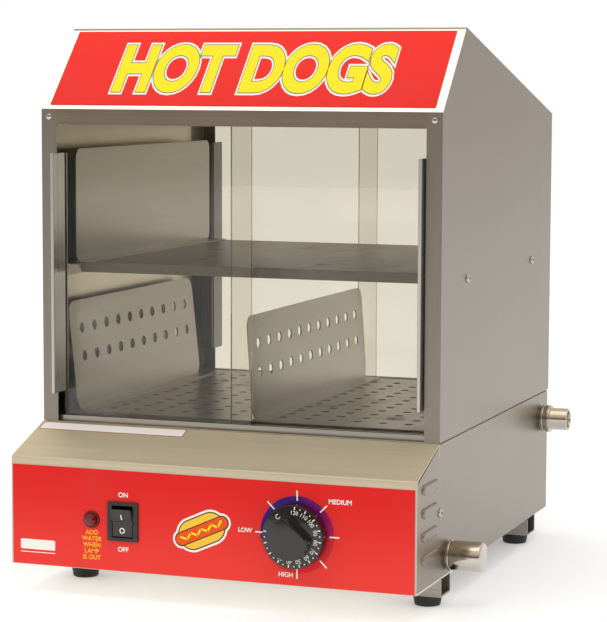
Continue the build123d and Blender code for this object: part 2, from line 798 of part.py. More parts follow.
# A door is a plain pane. edge is -1 for the left-hand door and +1 for the
# right-hand one; lane 0 is the outer groove.
def door_pane(face_y, inward, lane, edge, top_z):
    outer_edge = mid_x + edge * (body_width / 2 - door_tuck)
    inner_edge = mid_x - edge * door_overlap / 2
    low_z = deck_z + track_web + door_gap
    high_z = top_z - upper_track_drop - track_web - door_lift
    with BuildPart() as pane:
        with BuildSketch(Plane.XY.offset(low_z)):
            with Locations(((outer_edge + inner_edge) / 2, face_y + inward * lane_setback[lane])):
                Rectangle(abs(outer_edge - inner_edge), glass)
        extrude(amount=high_z - low_z)
        chamfer(pane.edges().filter_by(Axis.Z), length=0.4)
    return pane.part


# The handle's channel grips the outer edge of the pane and its finger plate
# stands out past the corner post.
def door_handle(face_y, inward, lane, edge, pane):
    pane_y = face_y + inward * lane_setback[lane]
    pane_edge = body_width / 2 - door_tuck
    fin_inner = body_width / 2 - handle_inset - handle_fin
    channel = pane_edge + handle_wall - fin_inner
    with BuildPart() as handle:
        with BuildSketch(Plane.XY.offset(deck_z + handle_bottom)):
            with Locations((mid_x + edge * (fin_inner + channel / 2), pane_y)):
                Rectangle(channel, glass + 2 * handle_wall)
            fin_depth = handle_reach + glass / 2
            fin_x = mid_x + edge * (fin_inner + handle_fin / 2)
            with Locations((fin_x, pane_y - inward * fin_depth / 2)):
                Rectangle(handle_fin, fin_depth)
        extrude(amount=handle_length)
        fin_front = handle.edges().filter_by(Axis.Z).sort_by(Axis.Y, reverse=inward < 0)[:2]
        fillet(fin_front, radius=handle_fin / 2 - 0.1)
        add(pane, mode=Mode.SUBTRACT)
    return handle.part


for row, face_y, inward, top_z in (
    ("front", cabinet_y, 1, front_top_z),
    ("rear", cabinet_back_y, -1, back_top_z),
):
    for hand, edge in (("left", -1), ("right", 1)):
        # the outer groove holds the door on the user's left, at front and back
        lane = 0 if edge * inward < 0 else 1
        pane = door_pane(face_y, inward, lane, edge, top_z)
        save(pane, f"{row}_{hand}_glass")
        save(door_handle(face_y, inward, lane, edge, pane), f"{row}_{hand}_handle")

# ==== bun shelf ===========================================================
shelf_start = cabinet_y + shelf_front
shelf_end = cabinet_back_y - shelf_back
shelf_mid_y = (shelf_start + shelf_end) / 2
shelf_length = shelf_end - shelf_start
rail_top_z = shelf_z - sheet
rail_length = shelf_length - 2 * rail_end_gap


def shelf_rail(outer_x, inward):
    wall_x = outer_x + inward * sheet
    with BuildPart() as rail:
        with BuildSketch(Plane.XZ.offset(-(shelf_mid_y - rail_length / 2))):
            with Locations((wall_x + inward * rail_width / 2, rail_top_z - rail_sheet / 2)):
                Rectangle(rail_width, rail_sheet)
            with Locations((wall_x + inward * rail_sheet / 2, rail_top_z - rail_depth / 2)):
                Rectangle(rail_sheet, rail_depth)
        extrude(amount=-rail_length)
        with BuildSketch(Plane.YZ.offset(wall_x)):
            with Locations(*[(y, rail_top_z - shelf_screw_drop) for y in shelf_screw_places]):
                Circle(shelf_screw_radius)
        extrude(amount=inward * rail_sheet, mode=Mode.SUBTRACT)
    return rail.part


save(shelf_rail(left_x, 1), "left_shelf_rail")
save(shelf_rail(right_x, -1), "right_shelf_rail")

screw_grip = sheet + rail_sheet
nut_thickness = 3.0
with BuildPart() as shelf_screws:
    for outer_x, inward in ((left_x, 1), (right_x, -1)):
        for y in shelf_screw_places:
            with BuildSketch(facing_right(outer_x, y, rail_top_z - shelf_screw_drop)):
                Circle(shelf_screw_head)
            extrude(amount=-inward * shelf_screw_head_height)
            with BuildSketch(facing_right(outer_x, y, rail_top_z - shelf_screw_drop)):
                Circle(shelf_screw_radius)
            extrude(amount=inward * (screw_grip + nut_thickness + 1))
save(shelf_screws.part, "shelf_screws")

with BuildPart() as shelf_nuts:
    for outer_x, inward in ((left_x, 1), (right_x, -1)):
        for y in shelf_screw_places:
            nut_x = outer_x + inward * screw_grip
            with BuildSketch(facing_right(nut_x, y, rail_top_z - shelf_screw_drop)):
                RegularPolygon(shelf_screw_head, 6)
                Circle(shelf_screw_radius, mode=Mode.SUBTRACT)
            extrude(amount=inward * nut_thickness)
save(shelf_nuts.part, "shelf_nuts")

with BuildPart() as bun_shelf:
    with BuildSketch(Plane.XY.offset(rail_top_z)):
        with Locations((mid_x, shelf_mid_y)):
            Rectangle(body_width - 2 * shelf_side_gap, shelf_length)
    extrude(amount=sheet)
    with BuildSketch(Plane.XY.offset(shelf_z)):
        with Locations((mid_x, shelf_start + sheet / 2), (mid_x, shelf_end - sheet / 2)):
            Rectangle(body_width - 2 * shelf_lip_inset, sheet)
    extrude(amount=-shelf_lip)
save(bun_shelf.part, "bun_shelf")


# An upright plate on a folded foot. It leans towards -X and the foot lies
# towards +X; rows counts the rows of round holes.
def upright_plate(foot_x, lean, length, middle_y, low_z, height, corner, foot_width, rows):
    angle = math.radians(lean)
    tilted = Plane(
        origin=(foot_x, middle_y, low_z),
        x_dir=(0, 1, 0),
        z_dir=(math.cos(angle), 0, math.sin(angle)),
    )
    columns = int((length - 4 * corner) / divider_hole_pitch) + 1
    with BuildPart() as plate:
        with BuildSketch(tilted):
            with Locations((0, height / 2)):
                outline = Rectangle(length, height)
            fillet(outline.vertices().group_by(Axis.Z)[-1], radius=corner)
            for row in range(rows):
                row_height = height - divider_top_row - row * divider_row_pitch
                with Locations((0, row_height)):
                    with GridLocations(divider_hole_pitch, 1, columns, 1):
                        Circle(divider_hole_radius, mode=Mode.SUBTRACT)
        extrude(amount=sheet)
        with BuildSketch(Plane.XY.offset(low_z)):
            with Locations((foot_x + foot_width / 2, middle_y)):
                Rectangle(foot_width, length)
        extrude(amount=sheet)
    return plate.part


bun_side_plate = upright_plate(
    left_x + bun_plate_inset, 0, shelf_length, shelf_mid_y, shelf_z,
    bun_plate_height, divider_corner * 0.75, bun_plate_foot, 0,
)
save(bun_side_plate, "bun_side_plate")

# ==== hot dog tray and dividers ============================================
tray_start = cabinet_y + tray_front
tray_end = cabinet_back_y - tray_back
tray_mid_y = (tray_start + tray_end) / 2
tray_length = tray_end - tray_start
tray_width = body_width - 2 * tray_side_gap
tray_columns = int((tray_width - 2 * tray_hole_pitch) / tray_hole_pitch) + 1
tray_rows = int((tray_length - 2 * tray_hole_pitch) / tray_hole_pitch) + 1

with BuildPart() as hot_dog_tray:
    with BuildSketch(Plane.XY.offset(tray_z)):
        with Locations((mid_x, tray_mid_y)):
            Rectangle(tray_width, tray_length)
            with GridLocations(tray_hole_pitch, tray_hole_pitch, tray_columns, tray_rows):
                Circle(tray_hole_radius, mode=Mode.SUBTRACT)
    extrude(amount=sheet)
    with BuildSketch(Plane.XY.offset(tray_z)):
        with Locations((mid_x, tray_mid_y)):
            with GridLocations(tray_width - sheet, 1, 2, 1):
                Rectangle(sheet, tray_length)
    extrude(amount=-tray_legs)
save(hot_dog_tray.part, "hot_dog_tray")

divider_length = tray_length - 2 * divider_end_gap
left_divider_length = tray_length - left_divider_front_gap - left_divider_back_gap
left_divider_y = tray_mid_y + (left_divider_front_gap - left_divider_back_gap) / 2
left_divider = upright_plate(
    left_x + left_divider_inset, left_divider_lean, left_divider_length, left_divider_y,
    tray_z + sheet, divider_height, divider_corner, divider_foot, divider_rows,
)
save(left_divider, "left_divider")
middle_divider = upright_plate(
    mid_x + middle_divider_shift, middle_divider_lean, divider_length, tray_mid_y,
    tray_z + sheet, divider_height - 7, divider_corner, divider_foot, divider_rows,
)
save(middle_divider, "middle_divider")

# ==== control panel =======================================================
with BuildPart() as control_overlay:
    overlay_z = base_z + overlay_bottom_gap
    with BuildSketch(facing_front(mid_x, front_y, overlay_z + overlay_height / 2)):
        Rectangle(body_width - 2 * overlay_side_gap, overlay_height)
    extrude(amount=overlay_thickness)
    with BuildSketch(facing_front(mid_x, front_y, control_z)):
        with Locations((switch_offset, 0)):
            Rectangle(switch_width - 2 * bezel_wall, switch_height - 2 * bezel_wall)
        with Locations((lamp_offset, 0)):
            Circle(lamp_barrel)
        with Locations((thermostat_offset, 0)):
            Circle(shaft_radius + shaft_clearance + 2)
            with GridLocations(thermostat_screw_spacing, 1, 2, 1):
                Circle(thermostat_screw_radius)
    extrude(amount=overlay_thickness, mode=Mode.SUBTRACT)
save(control_overlay.part, "control_overlay")

# The switch's body: a bezel on the panel, a box behind it and the cavity
# that the rocker tilts in.
cavity_depth = rocker_pivot + rocker_sweep
with BuildPart() as switch_body:
    with BuildSketch(facing_front(switch_x, panel_y, control_z)):
        RectangleRounded(switch_width, switch_height, 1.5)
    extrude(amount=bezel_thickness)
    fillet(switch_body.faces().sort_by(Axis.Y)[0].edges(), radius=0.8)
    with BuildSketch(facing_front(switch_x, panel_y, control_z)):
        Rectangle(switch_width - 2 * bezel_wall, switch_height - 2 * bezel_wall)
    extrude(amount=-switch_depth)
    with BuildSketch(facing_front(switch_x, bezel_y, control_z)):
        Rectangle(rocker_width + 2 * rocker_gap, 2 * cavity_half)
    extrude(amount=-cavity_depth, mode=Mode.SUBTRACT)
    pin_hole = rocker_width + 2 * (rocker_gap + rocker_pin_length)
    with BuildSketch(facing_right(switch_x - pin_hole / 2, pivot_y, control_z)):
        Circle(rocker_pin_radius + pin_clearance)
    extrude(amount=pin_hole, mode=Mode.SUBTRACT)
save(switch_body.part, "switch_body")

# The rocker is drawn about its pivot in the level position and stored
# tilted, with its lower half pressed in (off).
rocker_angle = math.radians(rocker_tilt)
rocker_plane = Plane(
    origin=(switch_x - rocker_width / 2, pivot_y, control_z),
    x_dir=(0, math.cos(rocker_angle), math.sin(rocker_angle)),
    z_dir=(1, 0, 0),
)
with BuildPart() as switch_rocker:
    with BuildSketch(rocker_plane):
        with BuildLine():
            tip = -rocker_pivot - rocker_half * rocker_slope
            Polyline(
                (-rocker_pivot, 0),
                (tip, rocker_half),
                (tip + rocker_back, rocker_half * 0.86),
                (rocker_half * 0.55, rocker_half * 0.3),
                (rocker_half * 0.55, -rocker_half * 0.3),
                (tip + rocker_back, -rocker_half * 0.86),
                (tip, -rocker_half),
                close=True,
            )
        make_face()
    extrude(amount=rocker_width)
    with BuildSketch(facing_right(switch_x - pin_hole / 2 + 0.1, pivot_y, control_z)):
        Circle(rocker_pin_radius)
    extrude(amount=pin_hole - 0.2)
save(switch_rocker.part, "switch_rocker")

with BuildPart() as lamp_body:
    with BuildSketch(facing_front(lamp_x, panel_y, control_z)):
        Circle(lamp_flange)
    extrude(amount=lamp_flange_thickness)
    with BuildSketch(facing_front(lamp_x, panel_y, control_z)):
        Circle(lamp_barrel)
    extrude(amount=-lamp_depth)
    with BuildSketch(facing_front(lamp_x, inside_y, control_z)):
        RegularPolygon(lamp_flange + 1, 6)
    extrude(amount=-2 * lamp_flange_thickness)
save(lamp_body.part, "lamp_body")

with BuildPart() as lamp_lens:
    lens_y = panel_y - lamp_flange_thickness
    with BuildSketch(facing_front(lamp_x, lens_y, control_z)):
        Circle(lamp_radius)
    extrude(amount=lens_height)
    fillet(lamp_lens.faces().sort_by(Axis.Y)[0].edges(), radius=0.6 * lens_height)
save(lamp_lens.part, "lamp_lens")

# The thermostat hangs behind the fascia from two screws under the knob.
with BuildPart() as thermostat_body:
    with BuildSketch(facing_front(thermostat_x, inside_y, control_z)):
        Rectangle(thermostat_size[0], thermostat_size[2])
    extrude(amount=-thermostat_size[1])
    with BuildSketch(facing_front(thermostat_x, inside_y, control_z)):
        Circle(shaft_radius + shaft_clearance)
        with GridLocations(thermostat_screw_spacing, 1, 2, 1):
            Circle(thermostat_screw_radius)
    extrude(amount=-thermostat_size[1] / 2, mode=Mode.SUBTRACT)
save(thermostat_body.part, "thermostat_body")

with BuildPart() as thermostat_screws:
    with BuildSketch(facing_front(thermostat_x, panel_y, control_z)):
        with GridLocations(thermostat_screw_spacing, 1, 2, 1):
            Circle(thermostat_screw_head)
    extrude(amount=thermostat_screw_head_height)
    with BuildSketch(facing_front(thermostat_x, panel_y, control_z)):
        with GridLocations(thermostat_screw_spacing, 1, 2, 1):
            Circle(thermostat_screw_radius)
    extrude(amount=-(overlay_thickness + sheet + thermostat_size[1] / 4))
save(thermostat_screws.part, "thermostat_screws")

knob_y = panel_y - knob_gap
knob_face_y = knob_y - knob_skirt
shaft_end_y = knob_face_y - knob_grip_height / 2
with BuildPart() as thermostat_shaft:
    shaft_start_y = inside_y + thermostat_size[1] / 2 - 1
    with BuildSketch(facing_front(thermostat_x, shaft_start_y, control_z)):
        Circle(shaft_radius)
    extrude(amount=shaft_start_y - shaft_end_y)
    flat_depth = shaft_radius - shaft_flat
    with BuildSketch(facing_front(thermostat_x, knob_y, control_z)):
        with Locations((0, shaft_flat + flat_depth)):
            Rectangle(2 * shaft_radius, 2 * flat_depth)
    extrude(amount=knob_y - shaft_end_y, mode=Mode.SUBTRACT)
save(thermostat_shaft.part, "thermostat_shaft")

# A tapered skirt carries the scale; the raised grip has one flat side.
with BuildPart() as thermostat_knob:
    with BuildSketch(facing_front(thermostat_x, knob_y, control_z)):
        Circle(knob_radius)
    extrude(amount=knob_skirt, taper=knob_taper)
    fillet(thermostat_knob.faces().sort_by(Axis.Y)[0].edges(), radius=knob_edge)
    cut = 2 * knob_grip_radius
    with BuildSketch(facing_front(thermostat_x, knob_face_y, control_z)):
        Circle(knob_grip_radius)
        with PolarLocations(knob_grip_flat + cut / 2, 1, start_angle=90 - knob_grip_turn):
            Rectangle(cut, cut, mode=Mode.SUBTRACT)
    extrude(amount=knob_grip_height)
    fillet(thermostat_knob.faces().sort_by(Axis.Y)[0].edges(), radius=knob_edge)
    with BuildSketch(facing_front(thermostat_x, knob_y, control_z)):
        Circle(knob_radius - 2 * knob_wall)
        Circle(2 * shaft_radius, mode=Mode.SUBTRACT)
    extrude(amount=knob_skirt - knob_wall, mode=Mode.SUBTRACT)
    add(thermostat_shaft.part, mode=Mode.SUBTRACT)
save(thermostat_knob.part, "thermostat_knob")

# The sensing bulb lies in the pan; its capillary runs to the thermostat.
bulb_y = pan_front_y + bulb_setback
capillary_back_y = inside_y + thermostat_size[1]
capillary_turn_y = (capillary_back_y + pan_front_y) / 2
with BuildPart() as thermostat_bulb:
    with BuildSketch(facing_back(bulb_x, bulb_y, bulb_z)):
        Circle(bulb_radius)
    extrude(amount=bulb_length)
    with BuildLine() as capillary_path:
        FilletPolyline(
            (bulb_x, bulb_y, bulb_z),
            (bulb_x, capillary_turn_y, bulb_z),
            (thermostat_x, capillary_turn_y, bulb_z),
            (thermostat_x, capillary_back_y, bulb_z),
            radius=capillary_bend,
        )
    with BuildSketch(facing_back(bulb_x, bulb_y, bulb_z)):
        Circle(capillary_radius)
    sweep(path=capillary_path.line)
save(thermostat_bulb.part, "thermostat_bulb")

with BuildPart() as bulb_gland:
    with BuildSketch(facing_front(bulb_x, pan_front_y, bulb_z)):
        RegularPolygon(gland_radius, 6)
        Circle(capillary_radius, mode=Mode.SUBTRACT)
    extrude(amount=bulkhead_length)
save(bulb_gland.part, "bulb_gland")

# A round snap thermostat on the pan's front wall cuts the power if it runs dry.
with BuildPart() as limit_switch:
    with BuildSketch(facing_front(mid_x, pan_front_y, element_z)):
        Circle(limit_radius)
    extrude(amount=limit_height)
    with BuildSketch(facing_front(mid_x, pan_front_y, element_z)):
        Rectangle(4 * limit_radius, limit_radius)
    extrude(amount=sheet)
save(limit_switch.part, "limit_switch")

with BuildPart() as terminal_block:
    with Locations((mid_x, front_y + terminal_setback, floor_z)):
        Box(*terminal_size, align=(Align.CENTER, Align.CENTER, Align.MIN))
    with BuildSketch(Plane.XY.offset(floor_z + terminal_size[2])):
        with Locations((mid_x, front_y + terminal_setback)):
            with GridLocations(terminal_size[0] / 5, terminal_size[1] / 2, 5, 2):
                Circle(2)
    extrude(amount=-terminal_size[2] / 2, mode=Mode.SUBTRACT)
save(terminal_block.part, "terminal_block")

# ==== back panel fittings ==================================================
with BuildPart() as cord_inlet:
    with BuildSketch(facing_back(cord_x, base_back_y, cord_z)):
        Circle(cord_flange_radius)
    extrude(amount=cord_flange_height)
    fillet(cord_inlet.faces().sort_by(Axis.Y)[-1].edges(), radius=1.5)
    with BuildSketch(facing_back(cord_x, base_back_y, cord_z)):
        Circle(cord_bush_radius)
    extrude(amount=-(cord_bush_length - cord_flange_height))
    with BuildSketch(facing_back(cord_x, base_back_y + cord_flange_height, cord_z)):
        Circle(cord_hole_radius)
    extrude(amount=-cord_bush_length, mode=Mode.SUBTRACT)
save(cord_inlet.part, "cord_inlet")

with BuildPart() as panel_screws:
    with BuildSketch(Plane.XZ.offset(-base_back_y)):
        with Locations(*panel_screw_places):
            Circle(panel_screw_head)
    extrude(amount=-panel_screw_head_height)
    with BuildSketch(Plane.XZ.offset(-base_back_y)):
        with Locations(*panel_screw_places):
            Circle(panel_screw_radius)
    extrude(amount=3 * sheet)
    for outer_x, outward in ((left_x, -1), (right_x, 1)):
        with BuildSketch(facing_right(outer_x, earth_screw_y, earth_screw_z)):
            Circle(earth_screw_head)
        extrude(amount=outward * panel_screw_head_height)
        with BuildSketch(facing_right(outer_x, earth_screw_y, earth_screw_z)):
            Circle(panel_screw_radius)
        extrude(amount=-outward * earth_screw_length)
save(panel_screws.part, "panel_screws")
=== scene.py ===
import bmesh
import bpy
import math
from mathutils import Matrix, Vector


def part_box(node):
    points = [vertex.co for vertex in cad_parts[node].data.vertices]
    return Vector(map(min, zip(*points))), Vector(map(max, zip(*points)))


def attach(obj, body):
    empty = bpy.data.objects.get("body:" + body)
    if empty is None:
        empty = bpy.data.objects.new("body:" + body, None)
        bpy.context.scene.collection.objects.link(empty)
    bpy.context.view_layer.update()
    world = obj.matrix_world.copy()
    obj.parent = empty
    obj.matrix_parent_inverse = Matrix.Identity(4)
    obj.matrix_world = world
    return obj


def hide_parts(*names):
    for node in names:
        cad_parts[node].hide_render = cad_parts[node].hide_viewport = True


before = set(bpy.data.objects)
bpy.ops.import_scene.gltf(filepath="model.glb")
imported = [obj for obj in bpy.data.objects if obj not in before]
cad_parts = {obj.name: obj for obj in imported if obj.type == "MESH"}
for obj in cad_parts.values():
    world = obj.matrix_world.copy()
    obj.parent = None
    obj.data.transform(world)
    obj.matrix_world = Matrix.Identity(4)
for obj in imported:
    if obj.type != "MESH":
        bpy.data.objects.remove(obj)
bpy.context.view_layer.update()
scene = bpy.context.scene
scene.view_settings.view_transform = "Standard"
mm = 0.001
print("frame loaded")


def shade(red, green, blue):  # a screen colour, 0 to 255, as the linear colour that shaders use
    values = [value / 255 for value in (red, green, blue)]
    return tuple(v / 12.92 if v <= 0.04045 else ((v + 0.055) / 1.055) ** 2.4 for v in values) + (1.0,)


class Wire:  # a node's output, with the operators that finishes use
    def __init__(self, nodes, socket):
        self.nodes, self.socket = nodes, socket

    def maths(self, operation, first, lowColour, clamp=False):
        settings = {"operation": operation, "use_clamp": clamp}
        return self.nodes.add("ShaderNodeMath", settings, {0: first, 1: lowColour})

    def __add__(self, other):
        return self.maths("ADD", self, other)

    __radd__ = __add__

    def __sub__(self, other):
        return self.maths("SUBTRACT", self, other)

    def __rsub__(self, other):
        return self.maths("SUBTRACT", other, self)

    def __mul__(self, other):
        return self.maths("MULTIPLY", self, other)

    __rmul__ = __mul__

    def held(self):
        return self.maths("ADD", self, 0.0, clamp=True)

    def ramped(self, low, high):  # 0 at low, 1 at high, smooth between
        inputs = {"Value": self, "From Min": low, "From Max": high}
        return self.nodes.add("ShaderNodeMapRange", {"interpolation_type": "SMOOTHSTEP"}, inputs)


class Nodes:  # a material or the world, built from the shader up
    def __init__(self, owner, output="ShaderNodeOutputMaterial"):
        owner.use_nodes = True
        self.owner, self.tree = owner, owner.node_tree
        self.tree.nodes.clear()
        self.last = self.tree.nodes.new(output)

    def add(self, kind, settings=None, inputs=None, output=0):
        made = self.tree.nodes.new(kind)
        count = len(self.tree.nodes)
        made.location = (-230 * (count % 9), -300 * (count // 9))
        for key, value in (settings or {}).items():
            if key == "stops":
                while len(made.color_ramp.elements) < len(value):
                    made.color_ramp.elements.new(0.5)
                for stop, (position, colour) in zip(made.color_ramp.elements, value):
                    stop.position, stop.color = position, colour
            else:
                setattr(made, key, value)
        for key, value in (inputs or {}).items():
            if isinstance(value, Wire):
                self.tree.links.new(value.socket, made.inputs[key])
            else:
                made.inputs[key].default_value = value
        return Wire(self, made.outputs[output])

    def place(self):
        return self.add("ShaderNodeTexCoord", output="Object")

    def noise(self, place, stretch, detail=2.0, rough=0.55):
        spread = self.add("ShaderNodeMapping", {}, {"Vector": place, "Scale": stretch})
        inputs = {"Vector": spread, "Scale": 1.0, "Detail": detail, "Roughness": rough}
        return self.add("ShaderNodeTexNoise", {}, inputs)

    def mix(self, amount, first, lowColour):
        return self.add("ShaderNodeMix", {"data_type": "RGBA"}, {0: amount, 6: first, 7: lowColour}, output=2)

    def rounded(self, radius):  # the normal, turned over the edges as if they were rounded
        return self.add("ShaderNodeBevel", {"samples": 4}, {"Radius": radius * mm})

    def worn(self, rounded, reach=4.0):  # 1 along edges, 0 on flats
        flat = self.add("ShaderNodeNewGeometry", output="Normal")
        alike = self.add("ShaderNodeVectorMath", {"operation": "DOT_PRODUCT"}, {0: rounded, 1: flat}, 1)
        return ((1 - alike) * reach).held()

    def bump(self, height, depth, normal=None):
        inputs = {"Strength": 1.0, "Distance": depth * mm, "Height": height}
        if normal:
            inputs["Normal"] = normal
        return self.add("ShaderNodeBump", {}, inputs)

    def surface(self, shader):
        self.tree.links.new(shader.socket, self.last.inputs["Surface"])
        return self.owner

    def principled(self, inputs):
        return self.surface(self.add("ShaderNodeBsdfPrincipled", {}, inputs))


# how often the grain repeats in a metre, along x, y and z
stretches = {"x": (5, 700, 700), "y": (700, 5, 700), "z": (700, 700, 5), "even": (500, 500, 500)}


def metalFinish(name, tone, grain="even", rough=0.34, vary=0.14, streak=0.16, depth=0.006, edge=1.35,
                stain=None, stained=0.0, metal=1.0, inside=None):
    nodes = Nodes(bpy.data.materials.new(name))
    place = nodes.place()
    fine = nodes.noise(place, stretches[grain], 2.0, 0.6)
    wide = nodes.noise(place, [value * 0.09 for value in stretches[grain]], 3.0)
    cloud = nodes.noise(place, (7, 7, 7), 3.0)
    rounded = nodes.rounded(0.5)
    worn = nodes.worn(rounded)
    dark = tuple(value * (1 - streak) for value in tone) + (1.0,)
    light = tuple(min(value * (1 + streak), 1.0) for value in tone) + (1.0,)
    bright = tuple(min(value * edge, 1.0) for value in tone) + (1.0,)
    colour = nodes.mix((fine * 0.45 + wide * 0.35 + cloud * 0.2).ramped(0.36, 0.64), dark, light)
    if inside:  # painted light: within the box the steel is painted a brighter tone than its outer skin, for the cabinet's inner walls and the sign's borders
        low, high, tone = inside
        x = nodes.add("ShaderNodeSeparateXYZ", {}, {"Vector": place}, output="X")
        y = nodes.add("ShaderNodeSeparateXYZ", {}, {"Vector": place}, output="Y")
        sides = x.maths("MINIMUM", x - low.x, high.x - x)
        ends = y.maths("MINIMUM", y - low.y, high.y - y)
        # the painted light mask: 1 more than 0.9 mm inside the box, 0 on its outer faces
        deep = sides.maths("MINIMUM", sides, ends).ramped(0.4 * mm, 0.9 * mm)
        colour = nodes.mix(deep, colour, tuple(tone) + (1.0,))
    colour = nodes.mix(worn, colour, bright)
    roughness = rough + (wide - 0.5) * vary + (cloud - 0.5) * vary - worn * 0.08
    inputs = {"Metallic": metal, "Normal": nodes.bump(fine, depth, rounded)}
    if stain:  # scale, heat tint or grime, in soft patches
        patch = nodes.noise(place, (38, 38, 38), 5.0, 0.62).ramped(0.62 - stained * 0.3, 0.78 - stained * 0.2)
        colour = nodes.mix(patch * 0.8, colour, stain)
        roughness = roughness + patch * 0.25
        inputs["Metallic"] = 1 - patch * 0.7
    return nodes.principled({**inputs, "Base Color": colour, "Roughness": roughness})


def mouldedFinish(name, tone, rough=0.4, grainScale=1400, depth=0.02, dust=0.05, edge=0.06, coat=0.0,
                  specular=0.5):
    nodes = Nodes(bpy.data.materials.new(name))
    place = nodes.place()
    grain = nodes.noise(place, (grainScale,) * 3, 2.0)
    cloud = nodes.noise(place, (60, 60, 60), 4.0)
    rounded = nodes.rounded(0.35)
    worn = nodes.worn(rounded)
    pale = tuple(min(value + dust, 1.0) for value in tone[:3]) + (1.0,)
    rubbed = tuple(min(value + edge, 1.0) for value in tone[:3]) + (1.0,)
    colour = nodes.mix(cloud.ramped(0.45, 0.75) * 0.6, tone, pale)
    colour = nodes.mix(worn * 0.7, colour, rubbed)
    roughness = rough + (cloud - 0.5) * 0.22 + (grain - 0.5) * 0.08
    return nodes.principled({"Base Color": colour, "Roughness": roughness, "Coat Weight": coat,
                             "Specular IOR Level": specular, "Normal": nodes.bump(grain, depth, rounded)})


# printed film, its colour running from the given low colour at height low to its tone at height high; on the
# control panel this is a painted reflection, lighter at the bottom
def printFinish(name, tone, lowColour=None, low=0.0, high=1.0, rough=0.34, wear=0.35, coat=0.05):
    nodes = Nodes(bpy.data.materials.new(name))
    place = nodes.place()
    grain = nodes.noise(place, (900, 900, 900), 2.0)
    dirt = nodes.noise(place, (24, 24, 24), 5.0, 0.65)
    scratch = nodes.noise(place, (35, 420, 900), 2.0, 0.7)
    height = nodes.add("ShaderNodeSeparateXYZ", {}, {"Vector": place}, output="Z")
    colour = nodes.mix(height.ramped(low, high), lowColour or tone, tone)
    dusty = tuple(value * 0.82 + 0.04 for value in tone[:3]) + (1.0,)
    colour = nodes.mix(dirt.ramped(0.5, 0.8) * wear, colour, dusty)
    scuffed = tuple(min(value * 1.15 + 0.05, 1.0) for value in tone[:3]) + (1.0,)
    colour = nodes.mix(scratch.ramped(0.68, 0.78) * wear * 0.6, colour, scuffed)
    roughness = rough + (dirt - 0.5) * 0.25 + scratch.ramped(0.68, 0.78) * 0.15
    return nodes.principled({"Base Color": colour, "Roughness": roughness, "Coat Weight": coat,
                             "Coat Roughness": 0.12, "Specular IOR Level": 0.14,
                             "Normal": nodes.bump(grain, 0.003)})


# clear glass: seen through, glossy at a glance, green at its cut edges
def paneFinish(name, tint, edgeTint, haze=0.05):
    nodes = Nodes(bpy.data.materials.new(name))
    place = nodes.place()
    normal = nodes.add("ShaderNodeNewGeometry", output="Normal")
    facing = nodes.add("ShaderNodeSeparateXYZ", {}, {"Vector": normal}, output="Y")
    cut = 1 - facing.maths("ABSOLUTE", facing, 0.0).ramped(0.35, 0.65)
    smear = nodes.noise(place, (9, 9, 16), 5.0, 0.6)
    ripple = nodes.noise(place, (14, 14, 14), 1.0)
    clear = nodes.add("ShaderNodeBsdfTransparent", {}, {"Color": tint})
    gloss = nodes.add("ShaderNodeBsdfPrincipled", {}, {
        "Base Color": nodes.mix(cut, (0.97, 0.97, 0.96, 1), edgeTint), "Metallic": 1.0,
        "Roughness": 0.04 + smear * haze, "Normal": nodes.bump(ripple, 0.05)})
    shine = nodes.add("ShaderNodeFresnel", {}, {"IOR": 1.45})
    factor = (shine * 0.75 + smear.ramped(0.45, 0.75) * 0.03 + cut * 0.45).held()
    return nodes.surface(nodes.add("ShaderNodeMixShader", {}, {0: factor, 1: clear, 2: gloss}))


print("finishes ready")


def seat(centre, outward, up=(0, 0, 1)):  # places a shape made flat on XY so that its +Z points outward
    outward = Vector(outward).normalized()
    right = Vector(up).cross(outward).normalized()
    return Matrix.Translation(centre) @ Matrix((right, outward.cross(right), outward)).transposed().to_4x4()


def moved(shape, place):
    bmesh.ops.transform(shape, matrix=place, verts=shape.verts)
    return shape


def joined(*shapes):
    whole = bmesh.new()
    for shape in shapes:
        part = bpy.data.meshes.new("part")
        shape.to_mesh(part)
        shape.free()
        whole.from_mesh(part)
        bpy.data.meshes.remove(part)
    return whole


def piece(name, shape, finish, body="root", replaces=None, place=None, smooth=32):
    if place:
        moved(shape, place)
    bmesh.ops.recalc_face_normals(shape, faces=shape.faces)
    mesh = bpy.data.meshes.new(name)
    shape.to_mesh(mesh)
    shape.free()
    mesh.shade_smooth()
    mesh.set_sharp_from_angle(angle=math.radians(smooth))
    mesh.materials.append(finish)
    made = bpy.data.objects.new(name, mesh)
    scene.collection.objects.link(made)
    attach(made, body)
    if replaces:
        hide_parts(replaces)
    return made


def soften(shape, radius, sharpest=30, segments=2):
    least = math.radians(sharpest)
    sharp = [edge for edge in shape.edges if edge.is_manifold and edge.calc_face_angle() > least]
    bmesh.ops.bevel(shape, geom=sharp, offset=radius * mm, segments=segments, affect="EDGES", profile=0.5,
                    material=-1, clamp_overlap=True)
    return shape


def lathe(profile, steps=72):  # radius and height in mm, spun round Z
    shape = bmesh.new()
    points = [shape.verts.new((radius * mm, 0, height * mm)) for radius, height in profile]
    edges = [shape.edges.new(pair) for pair in zip(points, points[1:])]
    bmesh.ops.spin(shape, geom=points + edges, cent=(0, 0, 0), axis=(0, 0, 1), angle=2 * math.pi, steps=steps,
                   use_merge=True)
    bmesh.ops.remove_doubles(shape, verts=shape.verts, dist=1e-6)
    bmesh.ops.recalc_face_normals(shape, faces=shape.faces)
    return shape


def disc(radius, steps=48):
    shape = bmesh.new()
    bmesh.ops.create_circle(shape, cap_ends=True, radius=radius * mm, segments=steps)
    return shape


def slab(width, height, corner=0.0):  # a flat plate, its corners rounded
    shape = bmesh.new()
    bmesh.ops.create_grid(shape, x_segments=1, y_segments=1, size=0.5)
    bmesh.ops.scale(shape, vec=(width * mm, height * mm, 1), verts=shape.verts)
    if corner:
        bmesh.ops.bevel(shape, geom=shape.verts[:], offset=corner * mm, segments=6, affect="VERTICES",
                        profile=0.5, material=-1, clamp_overlap=True)
    return shape


